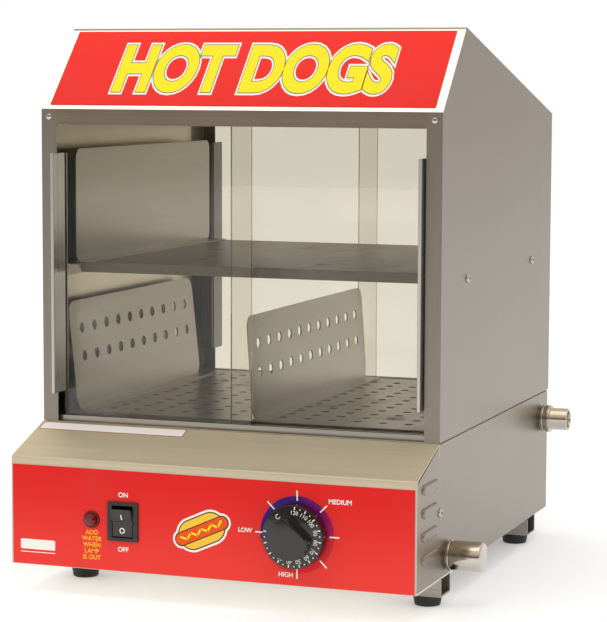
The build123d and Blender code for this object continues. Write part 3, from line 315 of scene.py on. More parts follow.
def stadium(length, radius, steps=48):
    shape = disc(radius, steps)
    for vert in shape.verts:
        vert.co.x += math.copysign(length / 2 - radius, vert.co.x) * mm
    return shape


def thicken(shape, height):
    grown = bmesh.ops.extrude_face_region(shape, geom=shape.faces[:])["geom"]
    top = [item for item in grown if isinstance(item, bmesh.types.BMVert)]
    bmesh.ops.translate(shape, vec=(0, 0, height * mm), verts=top)
    return shape


def raised(shape, height, thick=0.05):  # a printed layer, that far above its surface
    bmesh.ops.translate(thicken(shape, thick), vec=(0, 0, height * mm), verts=shape.verts)
    return shape


def lettering(words, high, bold=0.0, wide=None, thick=0.05):
    curve = bpy.data.curves.new("words", "FONT")
    curve.body, curve.align_x, curve.resolution_u = words, "CENTER", 6
    holder = bpy.data.objects.new("words", curve)
    scene.collection.objects.link(holder)
    bpy.context.view_layer.update()
    curve.size = high * mm / holder.dimensions.y
    bpy.context.view_layer.update()
    squeeze = wide * mm / holder.dimensions.x if wide else 1.0
    middle = (Vector(holder.bound_box[0]) + Vector(holder.bound_box[6])) / 2
    curve.offset, curve.extrude = bold * mm, thick * mm / 2
    bpy.context.view_layer.update()
    mesh = bpy.data.meshes.new_from_object(holder.evaluated_get(bpy.context.evaluated_depsgraph_get()))
    bpy.data.objects.remove(holder)
    shape = bmesh.new()
    shape.from_mesh(mesh)
    bmesh.ops.remove_doubles(shape, verts=shape.verts, dist=1e-7)
    bmesh.ops.translate(shape, vec=(-middle.x, -middle.y, thick * mm / 2), verts=shape.verts)
    bmesh.ops.scale(shape, vec=(squeeze, 1, 1), verts=shape.verts)
    return shape


def solidsOf(node):  # lowest and highest corner of each separate solid in a CAD node
    shape = bmesh.new()
    shape.from_mesh(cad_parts[node].data)
    bmesh.ops.remove_doubles(shape, verts=shape.verts, dist=1e-5)
    left, boxes = set(shape.verts), []
    for start in shape.verts:
        if start not in left:
            continue
        left.remove(start)
        waiting, corners = [start], []
        while waiting:
            vert = waiting.pop()
            corners.append(vert.co.copy())
            for edge in vert.link_edges:
                other = edge.other_vert(vert)
                if other in left:
                    left.remove(other)
                    waiting.append(other)
        boxes.append((Vector(map(min, zip(*corners))), Vector(map(max, zip(*corners)))))
    shape.free()
    return sorted(boxes, key=lambda box: [round(value, 5) for value in box[0]])


def slopeOf(node):  # middle, outward direction and size of the largest slope that faces forward and up
    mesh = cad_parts[node].data
    facing = [face for face in mesh.polygons if face.normal.y < -0.2 and face.normal.z > 0.2]
    largest = max(facing, key=lambda face: face.area)
    same = [face for face in facing if face.normal.dot(largest.normal) > 0.999]
    top = max((face.center - largest.center).dot(largest.normal) for face in same)
    outer = [face for face in same if (face.center - largest.center).dot(largest.normal) > top - 0.1 * mm]
    corners = [mesh.vertices[index].co for face in outer for index in face.vertices]
    low, high = Vector(map(min, zip(*corners))), Vector(map(max, zip(*corners)))
    return (low + high) / 2, largest.normal.copy(), high.x - low.x, math.hypot(high.y - low.y, high.z - low.z)


# the second tone is painted light for the cabinet's inner walls, the third a painted highlight for the sign's
# borders
steel = {"tone": (0.295, 0.256, 0.22), "inside": (0.74, 0.68, 0.56), "bright": (0.95, 0.9, 0.8),
         "rough": 0.36}
plain = {"vary": 0.07, "streak": 0.035, "depth": 0.003}  # the outer sheets' quiet grain
cabinetLow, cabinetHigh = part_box("cabinet_left_side")[0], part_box("cabinet_right_side")[1]
cabinetLitBox = cabinetLow, cabinetHigh - Vector((0, 34 * mm, 0))  # the box whose inner walls get painted light, short of the rear door frames, where the walls keep the outer tone
# the slope that the sign lies on, open to the sides and the front: there the roof's steel, the sign's
# borders, gets a painted highlight, nearly white
signSheenBox = Vector((-9, -9, 0)), Vector((9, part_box("sign_face")[1].y + 2 * mm, 0))
finishes = {
    "sheetSteel": metalFinish("sheetSteel", steel["tone"], "z", steel["rough"], **plain),
    # painted light: the cabinet's inner walls are painted brighter than its outer skin
    "cabinetSteel": metalFinish("cabinetSteel", steel["tone"], "z", steel["rough"], **plain,
                                inside=(*cabinetLitBox, steel["inside"])),
    # painted shade: the front and rear headers are the same steel as the sheets, painted darker
    "shadedHeaderSteel": metalFinish("shadedHeaderSteel", (0.31, 0.26, 0.2), "x", 0.32, streak=0.08),
    "consoleSteel": metalFinish("consoleSteel", (0.6, 0.525, 0.385), "x", 0.52, vary=0.08, streak=0.05,
                               depth=0.004, metal=0.5),
    # painted highlight: the sign's borders are painted nearly white
    "roofSteel": metalFinish("roofSteel", steel["tone"], "x", steel["rough"], **plain,
                             inside=(*signSheenBox, steel["bright"])),
    "insideSteel": metalFinish("insideSteel", (0.42, 0.39, 0.34), "y", 0.32, stain=shade(176, 160, 130),
                               stained=0.25),
    "plateSteel": metalFinish("plateSteel", (0.43, 0.4, 0.35), "y", 0.3, vary=0.06, streak=0.05, depth=0.001),
    # painted shade: the bun shelf's steel is painted dark; the patches on it are stains
    "shadedShelfSteel": metalFinish("shadedShelfSteel", (0.17, 0.15, 0.125), "y", 0.36, stain=shade(80, 66, 48),
                              stained=0.2),
    "panSteel": metalFinish("panSteel", (0.45, 0.42, 0.38), "even", 0.4, stain=shade(196, 190, 176),
                            stained=0.55),
    "legSteel": metalFinish("legSteel", (0.36, 0.34, 0.31), "x", 0.38),
    "trackMetal": metalFinish("trackMetal", (0.4, 0.38, 0.34), "x", 0.36, streak=0.12),
    # painted shade: the rear handles are the front handles' metal, painted dark
    "shadedRearHandleMetal": metalFinish("shadedRearHandleMetal", (0.2, 0.19, 0.175), "z", 0.34, streak=0.1),
    "handleMetal": metalFinish("handleMetal", (0.55, 0.54, 0.52), "z", 0.3, streak=0.1),
    "chrome": metalFinish("chrome", (0.58, 0.55, 0.5), "even", 0.16, vary=0.08, streak=0.05, depth=0.002),
    "fittingSteel": metalFinish("fittingSteel", (0.54, 0.5, 0.44), "even", 0.2, vary=0.08, streak=0.06,
                                depth=0.002),
    "screwSteel": metalFinish("screwSteel", (0.5, 0.48, 0.45), "even", 0.26, vary=0.1, streak=0.08,
                              depth=0.003),
    "nickel": metalFinish("nickel", (0.55, 0.53, 0.5), "even", 0.25, vary=0.1, streak=0.08),
    "copper": metalFinish("copper", (0.76, 0.38, 0.24), "even", 0.28, stain=shade(96, 52, 36), stained=0.25),
    "sheath": metalFinish("sheath", (0.2, 0.17, 0.15), "even", 0.45, stain=shade(180, 172, 158),
                          stained=0.35),
    "blackPlastic": mouldedFinish("blackPlastic", (0.02, 0.019, 0.017, 1), 0.38, dust=0.02, edge=0.03),
    "rockerPlastic": mouldedFinish("rockerPlastic", (0.024, 0.022, 0.019, 1), 0.33, dust=0.02, edge=0.03),
    "knobPlastic": mouldedFinish("knobPlastic", (0.012, 0.012, 0.011, 1), 0.22, dust=0.012, edge=0.02,
                                 coat=0.3),
    "palePlastic": mouldedFinish("palePlastic", shade(214, 205, 182), 0.45, dust=0.04),
    "brownPlastic": mouldedFinish("brownPlastic", shade(62, 40, 28), 0.42, dust=0.03),
    "footRubber": mouldedFinish("footRubber", (0.012, 0.012, 0.012, 1), 0.6, grainScale=700, depth=0.05,
                                dust=0.025),
    "sealRubber": mouldedFinish("sealRubber", (0.03, 0.012, 0.01, 1), 0.62, grainScale=900, dust=0.02),
    "lampGlass": mouldedFinish("lampGlass", shade(104, 4, 8), 0.16, grainScale=300, depth=0.01, dust=0.005,
                               edge=0.03, coat=0.3, specular=0.4),
    "doorGlass": paneFinish("doorGlass", (0.915, 0.9, 0.86, 1), (0.28, 0.38, 0.33, 1)),
    "whitePrint": printFinish("whitePrint", shade(244, 240, 232), wear=0.2),
    "yellowPrint": printFinish("yellowPrint", shade(250, 226, 18), wear=0.15),
    "orangePrint": printFinish("orangePrint", shade(255, 190, 40), wear=0.15),
    "linePrint": printFinish("linePrint", shade(82, 70, 22), wear=0.15),
    "sausagePrint": printFinish("sausagePrint", shade(236, 84, 30), wear=0.15),
    "bunPrint": printFinish("bunPrint", shade(248, 196, 62), wear=0.15),
    "redLine": printFinish("redLine", shade(206, 44, 40), wear=0.15),
}
signLow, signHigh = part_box("sign_face")
panelLow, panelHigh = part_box("control_overlay")
# the sign's red is a little darker towards its bottom
finishes["signRed"] = printFinish("signRed", shade(240, 34, 22), shade(232, 30, 22), signLow.z,
                                  signHigh.z, wear=0.3)
# painted reflection: the panel's red is lighter and pinker towards its bottom
finishes["panelRed"] = printFinish("panelRed", shade(222, 28, 24), shade(236, 60, 52), panelLow.z,
                                   panelHigh.z, wear=0.4)

nodeFinishes = {
    "sheetSteel": "base_left_side base_right_side base_back",
    "cabinetSteel": "cabinet_left_side cabinet_right_side",
    "shadedHeaderSteel": "front_header rear_header",
    "consoleSteel": "base_front",
    "roofSteel": "roof_cover base_floor",
    "insideSteel": "base_deck hot_dog_tray left_shelf_rail right_shelf_rail",
    "plateSteel": "bun_side_plate left_divider middle_divider",
    "shadedShelfSteel": "bun_shelf",
    "panSteel": "water_pan",
    "legSteel": "leg_brackets",
    "trackMetal": "front_lower_track front_upper_track rear_lower_track rear_upper_track",
    "handleMetal": "front_left_handle front_right_handle",
    "shadedRearHandleMetal": "rear_left_handle rear_right_handle",
    "nickel": "element_nuts fitting_nuts foot_screws shelf_nuts thermostat_screws bulb_gland "
              "thermostat_shaft",
    "copper": "thermostat_bulb",
    "sheath": "heating_element",
    "blackPlastic": "switch_body lamp_body cord_inlet",
    "brownPlastic": "thermostat_body limit_switch",
    "palePlastic": "terminal_block",
    "sealRubber": "drain_seal",
    "doorGlass": "front_left_glass front_right_glass rear_left_glass rear_right_glass",
    "signRed": "sign_face",
    "panelRed": "control_overlay",
}
for finish, names in nodeFinishes.items():
    for name in names.split():
        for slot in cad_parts[name].material_slots:
            slot.material = finishes[finish]
print("CAD nodes finished")

dial = {"skirt": 28.0, "hollow": 24.0, "skirtHigh": 9.5, "grip": 18.0, "gripHigh": 12.5, "gripFlat": 11.0,
        "flatTurn": 42.0, "ringFrom": 26.0, "ringTo": 33.7, "ringTurn": -100.0,
        "tickFrom": 29.6, "tickTo": 38.4, "tickWide": 1.3,
        "digits": 3.5, "digitsAt": 21.4, "letter": 4.2, "letterAt": 21.5, "letterTurn": -38.0,
        "marks": 25, "marksAt": 25.2, "firstMark": 5.0, "markStep": 11.4, "words": 3.9}
knobLow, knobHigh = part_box("thermostat_knob")
dialCentre = (knobLow + knobHigh) / 2
dialCentre.y = knobHigh.y
toFront = (0, -1, 0)
panelFace = Vector((dialCentre.x, panelLow.y, dialCentre.z))


def clock(radius, degrees):  # a point on a dial, clockwise from the top
    angle = math.radians(degrees)
    return radius * math.sin(angle) * mm, radius * math.cos(angle) * mm, 0


def clockPlace(radius, degrees):  # the same point, with a mark there turned to stand along the radius
    return Matrix.Translation(clock(radius, degrees)) @ Matrix.Rotation(-math.radians(degrees), 4, "Z")


skirtFace = dial["skirtHigh"]
skirt = soften(lathe([(0, 2), (dial["hollow"], 2), (dial["hollow"], 0), (dial["skirt"], 0),
                      (dial["skirt"] - 0.5, skirtFace), (0, skirtFace)], 96), 0.6)
grip = disc(dial["grip"], 96)
flatWay = Vector(clock(1000, dial["flatTurn"]))
bmesh.ops.bisect_plane(grip, geom=grip.verts[:] + grip.edges[:] + grip.faces[:], clear_outer=True,
                       plane_co=flatWay * dial["gripFlat"] * mm, plane_no=flatWay)
grip = raised(grip, skirtFace - 0.5, dial["gripHigh"] + 0.5)
soften(grip, 1.2, 40, 3)
piece("dialKnob", joined(skirt, grip), finishes["knobPlastic"], "thermostat_control", "thermostat_knob",
      seat(dialCentre, toFront))

marks = []
for step in range(dial["marks"]):  # a line and a dot by turns
    mark = slab(1.0, 2.6) if step % 2 == 0 else disc(0.6, 12)
    turned = clockPlace(dial["marksAt"], dial["firstMark"] + step * dial["markStep"])
    marks.append(moved(raised(mark, skirtFace + 0.01), turned))
onSkirt = Matrix.Translation((0, 0, skirtFace * mm))
for number, angle in zip(range(120, 20, -10), (6, 30, 53, 76, 99, 121, 142, 165, 187, 210)):
    digits = lettering(str(number), dial["digits"])
    marks.append(moved(digits, clockPlace(dial["digitsAt"], angle) @ onSkirt))
letter = lettering("C", dial["letter"], 0.05)
marks.append(moved(letter, clockPlace(dial["letterAt"], dial["letterTurn"]) @ onSkirt))
piece("dialScale", joined(*marks), finishes["whitePrint"], "thermostat_control", None,
      seat(dialCentre, toFront))

# the ring behind the dial: blue to purple to red, round from the left
ring = Nodes(bpy.data.materials.new("dialRingPrint"))
ringPlace = ring.place()
fromCentre = ring.add("ShaderNodeMapping", {}, {"Vector": ringPlace, "Location": tuple(-dialCentre)})
across = ring.add("ShaderNodeSeparateXYZ", {}, {"Vector": fromCentre}, output="X")
upward = ring.add("ShaderNodeSeparateXYZ", {}, {"Vector": fromCentre}, output="Z")
turn = across.maths("ARCTAN2", across, upward)
firstTurn, lastTurn = math.radians(dial["ringTurn"]), math.radians(dial["ringTurn"] + 360)
turn = ring.add("ShaderNodeMath", {"operation": "WRAP"}, {0: turn, 1: lastTurn, 2: firstTurn})
stops = [(0.0, shade(40, 24, 118)), (0.15, shade(42, 24, 122)), (0.28, shade(72, 26, 118)),
         (0.4, shade(122, 22, 96)), (0.525, shade(172, 24, 78)), (0.54, shade(206, 44, 58)),
         (0.66, shade(218, 42, 42))]
share = turn * (0.5 / math.pi) - dial["ringTurn"] / 360
ringColour = ring.add("ShaderNodeValToRGB", {"stops": stops}, {"Fac": share})
ringDirt = ring.noise(ringPlace, (60, 60, 60), 4.0)
ringColour = ring.mix(ringDirt.ramped(0.5, 0.8) * 0.1, ringColour, shade(180, 120, 120))
ringFinish = ring.principled({"Base Color": ringColour, "Roughness": 0.34 + ringDirt * 0.1,
                              "Specular IOR Level": 0.14,
                              "Normal": ring.bump(ring.noise(ringPlace, (900, 900, 900)), 0.006)})
ringShape = lathe([(dial["ringFrom"], 0.02), (dial["ringFrom"], 0.06), (dial["ringTo"], 0.06),
                   (dial["ringTo"], 0.02), (dial["ringFrom"], 0.02)], 96)
piece("dialRing", ringShape, ringFinish, place=seat(panelFace, toFront))

ticks = []
for angle in (-90, -45, 0, 45, 90, 135, 180):
    tick = raised(slab(dial["tickWide"], dial["tickTo"] - dial["tickFrom"], 0.2), 0.07)
    ticks.append(moved(tick, clockPlace((dial["tickTo"] + dial["tickFrom"]) / 2, angle)))
for words, x, z in (("LOW", -47.8, 0.9), ("MEDIUM", 39.0, 30.8), ("HIGH", -10.3, -35.3)):
    place = Matrix.Translation((x * mm, z * mm, 0.04 * mm))
    ticks.append(moved(lettering(words, dial["words"], 0.12), place))
piece("dialPrint", joined(*ticks), finishes["whitePrint"], place=seat(panelFace, toFront))
print("dial made")

switch = {"half": 13.0, "back": 5.0, "forward": 1.0, "wide": 19.0, "deep": 7.1, "root": 3.9, "tilt": 12.0,
          "pin": 1.5, "pinLong": 21.4, "words": 4.2, "onUp": 23.8, "offDown": 24.9}
bodyLow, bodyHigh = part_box("switch_body")
switchCentre = Vector(((bodyLow.x + bodyHigh.x) / 2, bodyLow.y, (bodyLow.z + bodyHigh.z) / 2))
pivot = switchCentre + Vector((0, switch["forward"] * mm, 0))
tilt = math.radians(switch["tilt"])
tip = -switch["forward"] - switch["half"] * math.tan(tilt)
rocker = bmesh.new()
outline = [(-switch["forward"], 0), (tip, switch["half"]), (tip + switch["back"], switch["half"] * 0.86),
           (switch["deep"], switch["root"]), (switch["deep"], -switch["root"]),
           (tip + switch["back"], -switch["half"] * 0.86), (tip, -switch["half"])]
rocker.faces.new([rocker.verts.new((y * mm, z * mm, 0)) for y, z in outline])
soften(raised(rocker, -switch["wide"] / 2, switch["wide"]), 0.7, 20, 3)
pinEnd = switch["pinLong"] / 2
pins = lathe([(0, -pinEnd), (switch["pin"], -pinEnd), (switch["pin"], pinEnd), (0, pinEnd)], 24)
# the outline's x becomes y and its y becomes z, so that it stands on edge
sideways = Matrix(((0, 0, 1, 0), (1, 0, 0, 0), (0, 1, 0, 0), (0, 0, 0, 1)))
tilted = Matrix.Translation(pivot) @ Matrix.Rotation(tilt, 4, "X")
piece("switchRocker", joined(rocker, pins), finishes["rockerPlastic"], "power_rocker", "switch_rocker",
      tilted @ sideways)


def onRocker(side, along):  # a place on the rocker's upper (1) or lower (-1) half, that far from its middle
    lean = math.atan2(-tip - switch["forward"], switch["half"]) * side
    point = Vector((0, -switch["forward"] - abs(along) * math.tan(abs(lean)), along)) * mm
    return tilted @ seat(point, (0, -math.cos(lean), -math.sin(lean)))


onMark = moved(raised(slab(1.0, 5.2), 0.02), onRocker(1, 5.2))
offRing = lathe([(1.7, 0.02), (1.7, 0.07), (2.6, 0.07), (2.6, 0.02), (1.7, 0.02)], 40)
offMark = moved(offRing, onRocker(-1, -7.4))
piece("rockerMarks", joined(onMark, offMark), finishes["whitePrint"], "power_rocker", None)

switchFace = Vector((switchCentre.x, panelLow.y, switchCentre.z))
switchWords = [moved(lettering(words, switch["words"], 0.12), Matrix.Translation((0, z * mm, 0.02 * mm)))
               for words, z in (("ON", switch["onUp"]), ("OFF", -switch["offDown"]))]
piece("switchPrint", joined(*switchWords), finishes["whitePrint"],
      place=seat(switchFace, toFront))
print("switch made")

lamp = {"radius": 6.3, "high": 4.6, "facets": 10, "bezel": 8.0, "words": 3.9, "step": 5.6, "first": -11.5}
lensLow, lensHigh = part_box("lamp_lens")
lampCentre = Vector(((lensLow.x + lensHigh.x) / 2, lensHigh.y, (lensLow.z + lensHigh.z) / 2))
lens = lathe([(0, 0), (lamp["radius"], 0), (lamp["radius"], 1.0), (5.2, 3.0), (3.0, 4.3), (0, lamp["high"])],
             lamp["facets"])
piece("lampLens", lens, finishes["lampGlass"], "root", "lamp_lens", seat(lampCentre, toFront),
      smooth=5)
inner = lamp["radius"] + 0.05
bezel = lathe([(inner, 0), (inner, 1.6), (lamp["bezel"] - 0.6, 1.6), (lamp["bezel"], 0), (inner, 0)], 60)
lampFace = Vector((lampCentre.x, panelLow.y, lampCentre.z))
lampWords = [moved(lettering(words, lamp["words"], 0.1),
                   Matrix.Translation((0, (lamp["first"] - lamp["step"] * line) * mm, 0.02 * mm)))
             for line, words in enumerate(("ADD", "WATER", "WHEN", "LAMP", "IS OUT"))]
piece("lampPrint", joined(*lampWords), finishes["orangePrint"],
      place=seat(lampFace, toFront))
piece("lampRing", soften(bezel, 0.3), finishes["lampGlass"],
      place=seat(lampFace, toFront))
print("lamp made")

# a simple hot dog: bun and sausage are each a length and a radius
badge = {"x": -22.15, "z": 68.0, "turn": 24.0, "bun": (44.0, 12.6), "sausage": (52.0, 5.4),
         "strokes": 8, "strokeLong": 7.6, "strokeWide": 0.9, "strokeStep": 5.2, "strokeTurn": 38.0}
badgePlace = (seat((badge["x"] * mm, panelLow.y, badge["z"] * mm), toFront)
              @ Matrix.Rotation(math.radians(badge["turn"]), 4, "Z"))
bun, sausage = badge["bun"], badge["sausage"]
badgeLayers = ("badgeBorder", "whitePrint", 0.02, 3.0), ("badgeLine", "linePrint", 0.08, 1.1)
for name, finish, height, grow in badgeLayers:
    both = [raised(stadium(length + 2 * grow, radius + grow), height) for length, radius in (bun, sausage)]
    bmesh.ops.translate(both[1], vec=(0, 0, 0.005 * mm), verts=both[1].verts)
    piece(name, joined(*both), finishes[finish], place=badgePlace)
piece("badgeBun", raised(stadium(*bun), 0.15), finishes["bunPrint"], place=badgePlace)
piece("badgeSausageLine", raised(stadium(sausage[0] + 2, sausage[1] + 1), 0.21), finishes["linePrint"],
      place=badgePlace)
piece("badgeSausage", raised(stadium(*sausage), 0.27), finishes["sausagePrint"],
      place=badgePlace)
mustard = []
for step in range(badge["strokes"]):  # a zigzag of short strokes
    stroke = raised(stadium(badge["strokeLong"], badge["strokeWide"], 24), 0.33)
    along = (step - (badge["strokes"] - 1) / 2) * badge["strokeStep"]
    zigzag = math.radians(badge["strokeTurn"] * (1 if step % 2 else -1))
    mustard.append(moved(stroke, Matrix.Translation((along * mm, 0, 0)) @ Matrix.Rotation(zigzag, 4, "Z")))
piece("badgeMustard", joined(*mustard), finishes["yellowPrint"], place=badgePlace)

label = {"x": -180.75, "z": 44.5, "wide": 34.0, "high": 9.0, "line": 0.7, "lineDown": 7.0}
plate = raised(slab(label["wide"], label["high"], 1.2), 0.02)
line = moved(raised(slab(label["wide"], label["line"]), 0.02),
             Matrix.Translation((0, -label["lineDown"] * mm, 0)))
piece("makersLabel", joined(plate, line), finishes["whitePrint"],
      place=seat((label["x"] * mm, panelLow.y, label["z"] * mm), toFront))

consoleMiddle, consoleOut, consoleWide, consoleLong = slopeOf("base_front")
strip = {"wide": 142.0, "high": 13.5, "fromLeft": 2.6, "fromTop": 1.0, "border": 0.8}
stripX = (strip["fromLeft"] + strip["wide"] / 2) * mm - consoleWide / 2
stripY = consoleLong / 2 - (strip["fromTop"] + strip["high"] / 2) * mm
stripPlace = seat(consoleMiddle, consoleOut) @ Matrix.Translation((stripX, stripY, 0))
piece("cautionEdge", raised(slab(strip["wide"], strip["high"], 0.8), 0.02, 0.08), finishes["redLine"],
      place=stripPlace)
inner = slab(strip["wide"] - 2 * strip["border"], strip["high"] - 2 * strip["border"], 0.5)
piece("cautionStrip", raised(inner, 0.11, 0.05), finishes["whitePrint"], place=stripPlace)

signMiddle, signOut = slopeOf("sign_face")[:2]
# the words, in three layers: each with its height above the sign and how far its letters are grown
sign = {"words": "HOT DOGS", "high": 53.0, "wide": 258.0, "x": 4.0, "up": -1.0, "layers": (
    ("signBorder", "whitePrint", 0.02, 6.4), ("signLine", "linePrint", 0.1, 4.1),
    ("signLetters", "yellowPrint", 0.18, 3.3))}
signPlace = seat(signMiddle, signOut) @ Matrix.Translation((sign["x"] * mm, sign["up"] * mm, 0))
for name, finish, height, bold in sign["layers"]:
    words = lettering(sign["words"], sign["high"], bold, sign["wide"])
    bmesh.ops.translate(words, vec=(0, 0, height * mm), verts=words.verts)
    piece(name, words, finishes[finish], place=signPlace)
print("print laid on")

drain = {"capWall": 4.0, "capBore": 11.06, "capEdge": 1.5, "rings": [(0, 2.5)], "steps": 96}
overflow = {"rings": [(0, 2.5), (3.5, 9.0)]}  # where each ring begins and ends, out from the side panel
tube = {"radius": 11.0, "bore": 8.5, "ring": 13.5, "edge": 0.35}
capLow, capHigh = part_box("drain_cap")
spigotLow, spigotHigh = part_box("drain_spigot")
overLow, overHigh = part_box("overflow_tube")
toRight = (1, 0, 0)


def startOf(low, high):
    return Vector((low.x, (low.y + high.y) / 2, (low.z + high.z) / 2))


capReach = (capHigh.x - capLow.x) / mm
capRadius = (capHigh.z - capLow.z) / mm / 2
capBore, capDeep, capEdge = drain["capBore"], capReach - drain["capWall"], drain["capEdge"]
cap = lathe([(0, capReach), (capRadius - capEdge, capReach), (capRadius, capReach - capEdge), (capRadius, 0),
             (capBore, 0), (capBore, capDeep), (0, capDeep)], drain["steps"])
piece("drainCap", soften(cap, 0.35, 25), finishes["chrome"], "drain_screw_cap", "drain_cap",
      seat(startOf(capLow, capHigh), toRight))
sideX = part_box("base_right_side")[1].x
for name, node, low, high, rings in (("drainSpigot", "drain_spigot", spigotLow, spigotHigh, drain["rings"]),
                                     ("overflowTube", "overflow_tube", overLow, overHigh, overflow["rings"])):
    side, reach = (sideX - low.x) / mm, (high.x - low.x) / mm
    profile = [(tube["bore"], 0), (tube["radius"], 0)]
    for begin, end in rings:
        profile += [(tube["radius"], side + begin), (tube["ring"], side + begin),
                    (tube["ring"], side + end), (tube["radius"], side + end)]
    profile += [(tube["radius"], reach), (tube["bore"], reach), (tube["bore"], 0)]
    turned = soften(lathe(profile, drain["steps"]), tube["edge"], 25)
    piece(name, turned, finishes["fittingSteel"], "root", node,
          seat(startOf(low, high), toRight))

foot = {"top": 13.0, "high": 10.0, "hole": 2.6, "recess": 4.6, "recessHigh": 5.5}
feet = []
for low, high in solidsOf("rubber_feet"):  # tapered, with a recess for the screw's head
    rubber = lathe([(foot["hole"], foot["recessHigh"]), (foot["recess"], foot["recessHigh"]),
                    (foot["recess"], 0), (10.2, 0), (11.2, 0.4), (11.7, 1.4), (12.3, 5.0), (12.9, 8.6),
                    (foot["top"], 9.4), (12.6, foot["high"]), (foot["hole"], foot["high"]),
                    (foot["hole"], foot["recessHigh"])], 64)
    feet.append(moved(rubber, Matrix.Translation(((low.x + high.x) / 2, (low.y + high.y) / 2, low.z))))
piece("rubberFeet", joined(*feet), finishes["footRubber"], "root", "rubber_feet")


thread = {"pitch": 0.7, "root": 0.84, "point": 0.7}
shelfScrew = {"head": 4.0, "high": 2.2, "shank": 2.0}
panelScrew = {"head": 3.6, "high": 1.6, "shank": 1.8, "earthHead": 4.6}


def screw(head, high, shank, deep):  # domed head with a cross recess, seated at 0, its threaded shank below
    pitch = thread["pitch"]
    profile = [(0, -deep), (shank * thread["point"], -deep)]
    for turn in range(int((deep - 1) / pitch)):
        profile += [(shank, -deep + pitch / 2 + turn * pitch),
                    (shank * thread["root"], -deep + pitch + turn * pitch)]
    profile += [(shank, 0), (head, 0), (head, high * 0.3), (head * 0.93, high * 0.6),
                (head * 0.76, high * 0.88), (head * 0.55, high)]
    shape = lathe(profile, 24)
    rim = [edge for edge in shape.edges if edge.is_boundary]
    wide, arm, corners = head * 0.11, head * 0.42, []
    for quarter in range(4):
        turn = Matrix.Rotation(-math.pi / 2 * quarter, 3, "Z")
        for x, y in ((wide, arm), (wide, wide), (arm, wide)):
            corners.append(shape.verts.new(turn @ Vector((x, y, high)) * mm))
    outline = [shape.edges.new((corners[index - 1], corner)) for index, corner in enumerate(corners)]
    bmesh.ops.bridge_loops(shape, edges=rim + outline)
    sunk = bmesh.ops.extrude_edge_only(shape, edges=outline)["geom"]
    bottom = [item for item in sunk if isinstance(item, bmesh.types.BMVert)]
    bmesh.ops.translate(shape, vec=(0, 0, -high * 0.6 * mm), verts=bottom)
    bmesh.ops.contextual_create(shape, geom=[edge for edge in sunk if isinstance(edge, bmesh.types.BMEdge)
                                             and all(vert in bottom for vert in edge.verts)])
    return shape


shelfScrews = []
for low, high in solidsOf("shelf_screws"):
    outward = 1 if low.x > 0 else -1
    outer = Vector((high.x if outward > 0 else low.x, (low.y + high.y) / 2, (low.z + high.z) / 2))
    under = outer - Vector((outward * shelfScrew["high"] * mm, 0, 0))
    turned = seat(under, (outward, 0, 0)) @ Matrix.Rotation(0.4 + len(shelfScrews), 4, "Z")
    deep = (high.x - low.x) / mm - shelfScrew["high"]
    shelfScrews.append(moved(screw(**shelfScrew, deep=deep), turned))
piece("shelfScrews", joined(*shelfScrews), finishes["screwSteel"], "root", "shelf_screws")

panelScrews = []
for low, high in solidsOf("panel_screws"):
    size, middle = high - low, (low + high) / 2
    if size.x > size.y:  # earth screw, through a side
        outward = 1 if middle.x > 0 else -1
        outer = Vector((high.x if outward > 0 else low.x, middle.y, middle.z))
        head, out = panelScrew["earthHead"], Vector((outward, 0, 0))
    else:
        outer, head, out = Vector((middle.x, high.y, middle.z)), panelScrew["head"], Vector((0, 1, 0))
    under = outer - out * panelScrew["high"] * mm
    turned = seat(under, out) @ Matrix.Rotation(len(panelScrews) * 1.3, 4, "Z")
    deep = max(size.x, size.y) / mm - panelScrew["high"]
    panelScrews.append(moved(screw(head, panelScrew["high"], panelScrew["shank"], deep), turned))
piece("panelScrews", joined(*panelScrews), finishes["screwSteel"], "root", "panel_screws")

rivet = {"radius": 2.6, "high": 0.8}
rivets = []
for low, high in solidsOf("post_rivets"):
    dome = lathe([(0, 0), (rivet["radius"], 0), (rivet["radius"], 0.15), (2.1, 0.5), (1.3, 0.72),
                  (0.5, rivet["high"]), (0, rivet["high"])], 40)
    rivets.append(moved(dome, seat(((low.x + high.x) / 2, high.y, (low.z + high.z) / 2), toFront)))
piece("postRivets", joined(*rivets), finishes["chrome"], "root", "post_rivets")
print("fittings, feet and screws made")

camera = {"at": (0.7478, -2.06295, 0.4632), "turn": 20.14, "down": 5.79, "roll": 0.2, "lens": 134.8}
lensData = bpy.data.cameras.new("camera")
lensData.lens, lensData.sensor_width = camera["lens"], 36
viewer = bpy.data.objects.new("camera", lensData)
viewer.matrix_world = (Matrix.Translation(camera["at"])
                       @ Matrix.Rotation(math.radians(camera["turn"]), 4, "Z")
                       @ Matrix.Rotation(math.radians(90 - camera["down"]), 4, "X")
                       @ Matrix.Rotation(math.radians(camera["roll"]), 4, "Z"))
scene.collection.objects.link(viewer)
scene.camera = viewer

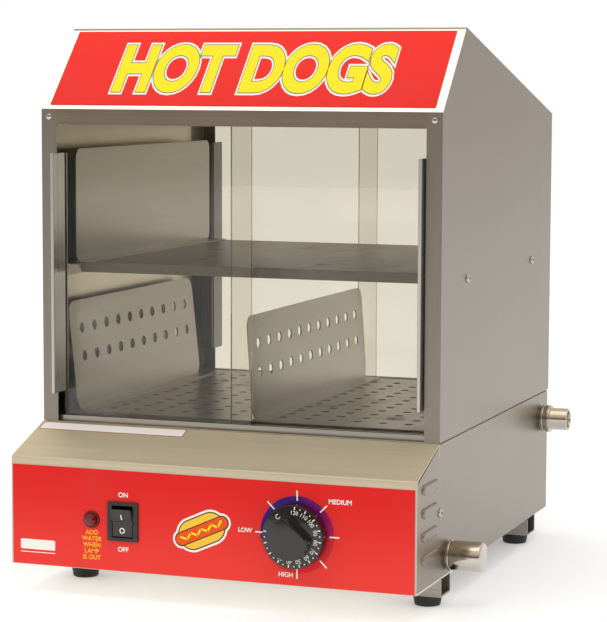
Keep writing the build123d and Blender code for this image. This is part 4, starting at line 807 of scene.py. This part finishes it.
floorShape = bmesh.new()
bmesh.ops.create_grid(floorShape, x_segments=8, y_segments=8, size=7)  # 14 m across, past any view's edge
floorMesh = bpy.data.meshes.new("floor")
floorShape.to_mesh(floorMesh)
floorShape.free()
floorNodes = Nodes(bpy.data.materials.new("floorPaint"))
floorCloud = floorNodes.noise(floorNodes.place(), (3, 3, 3), 3.0)
floorTone = floorNodes.mix(floorCloud, (0.9, 0.9, 0.89, 1), (0.94, 0.94, 0.93, 1))
floorMesh.materials.append(floorNodes.principled({
    "Base Color": floorTone, "Roughness": 0.8 + floorCloud * 0.1,
    "Emission Color": (1, 1, 1, 1), "Emission Strength": 0.3}))  # a slight glow keeps it white to the edges
floor = bpy.data.objects.new("floor", floorMesh)
scene.collection.objects.link(floor)

light = {"power": 12.0, "wide": 2.0, "at": (-0.3, -0.6, 2.2), "lean": -8.0}
softbox = bpy.data.lights.new("softbox", "AREA")
softbox.energy, softbox.size = light["power"], light["wide"]
softboxHolder = bpy.data.objects.new("softbox", softbox)
softboxHolder.matrix_world = (Matrix.Translation(light["at"])
                              @ Matrix.Rotation(math.radians(light["lean"]), 4, "X"))
scene.collection.objects.link(softboxHolder)

# the room: white behind the object, even light on it, and a darker front and warm ceiling in its reflections
world = Nodes(bpy.data.worlds.new("room"), "ShaderNodeOutputWorld")
scene.world = world.owner
way = world.add("ShaderNodeTexCoord", output="Generated")
wayY = world.add("ShaderNodeSeparateXYZ", {}, {"Vector": way}, output="Y")
wayZ = world.add("ShaderNodeSeparateXYZ", {}, {"Vector": way}, output="Z")
around = world.mix(wayY.ramped(-0.9, 0.1), (0.13, 0.095, 0.055, 1), (0.8, 0.765, 0.725, 1))
above = world.mix(wayZ.ramped(0.1, 0.6), around, (0.9, 0.77, 0.58, 1))
mirrored = world.add("ShaderNodeLightPath", output="Is Glossy Ray")
direct = world.add("ShaderNodeLightPath", output="Is Camera Ray")
seen = world.mix(direct, world.mix(mirrored, (0.84, 0.84, 0.84, 1), above), (1, 1, 1, 1))
world.surface(world.add("ShaderNodeBackground", {}, {"Color": seen, "Strength": 1.0}))
print("room lit")
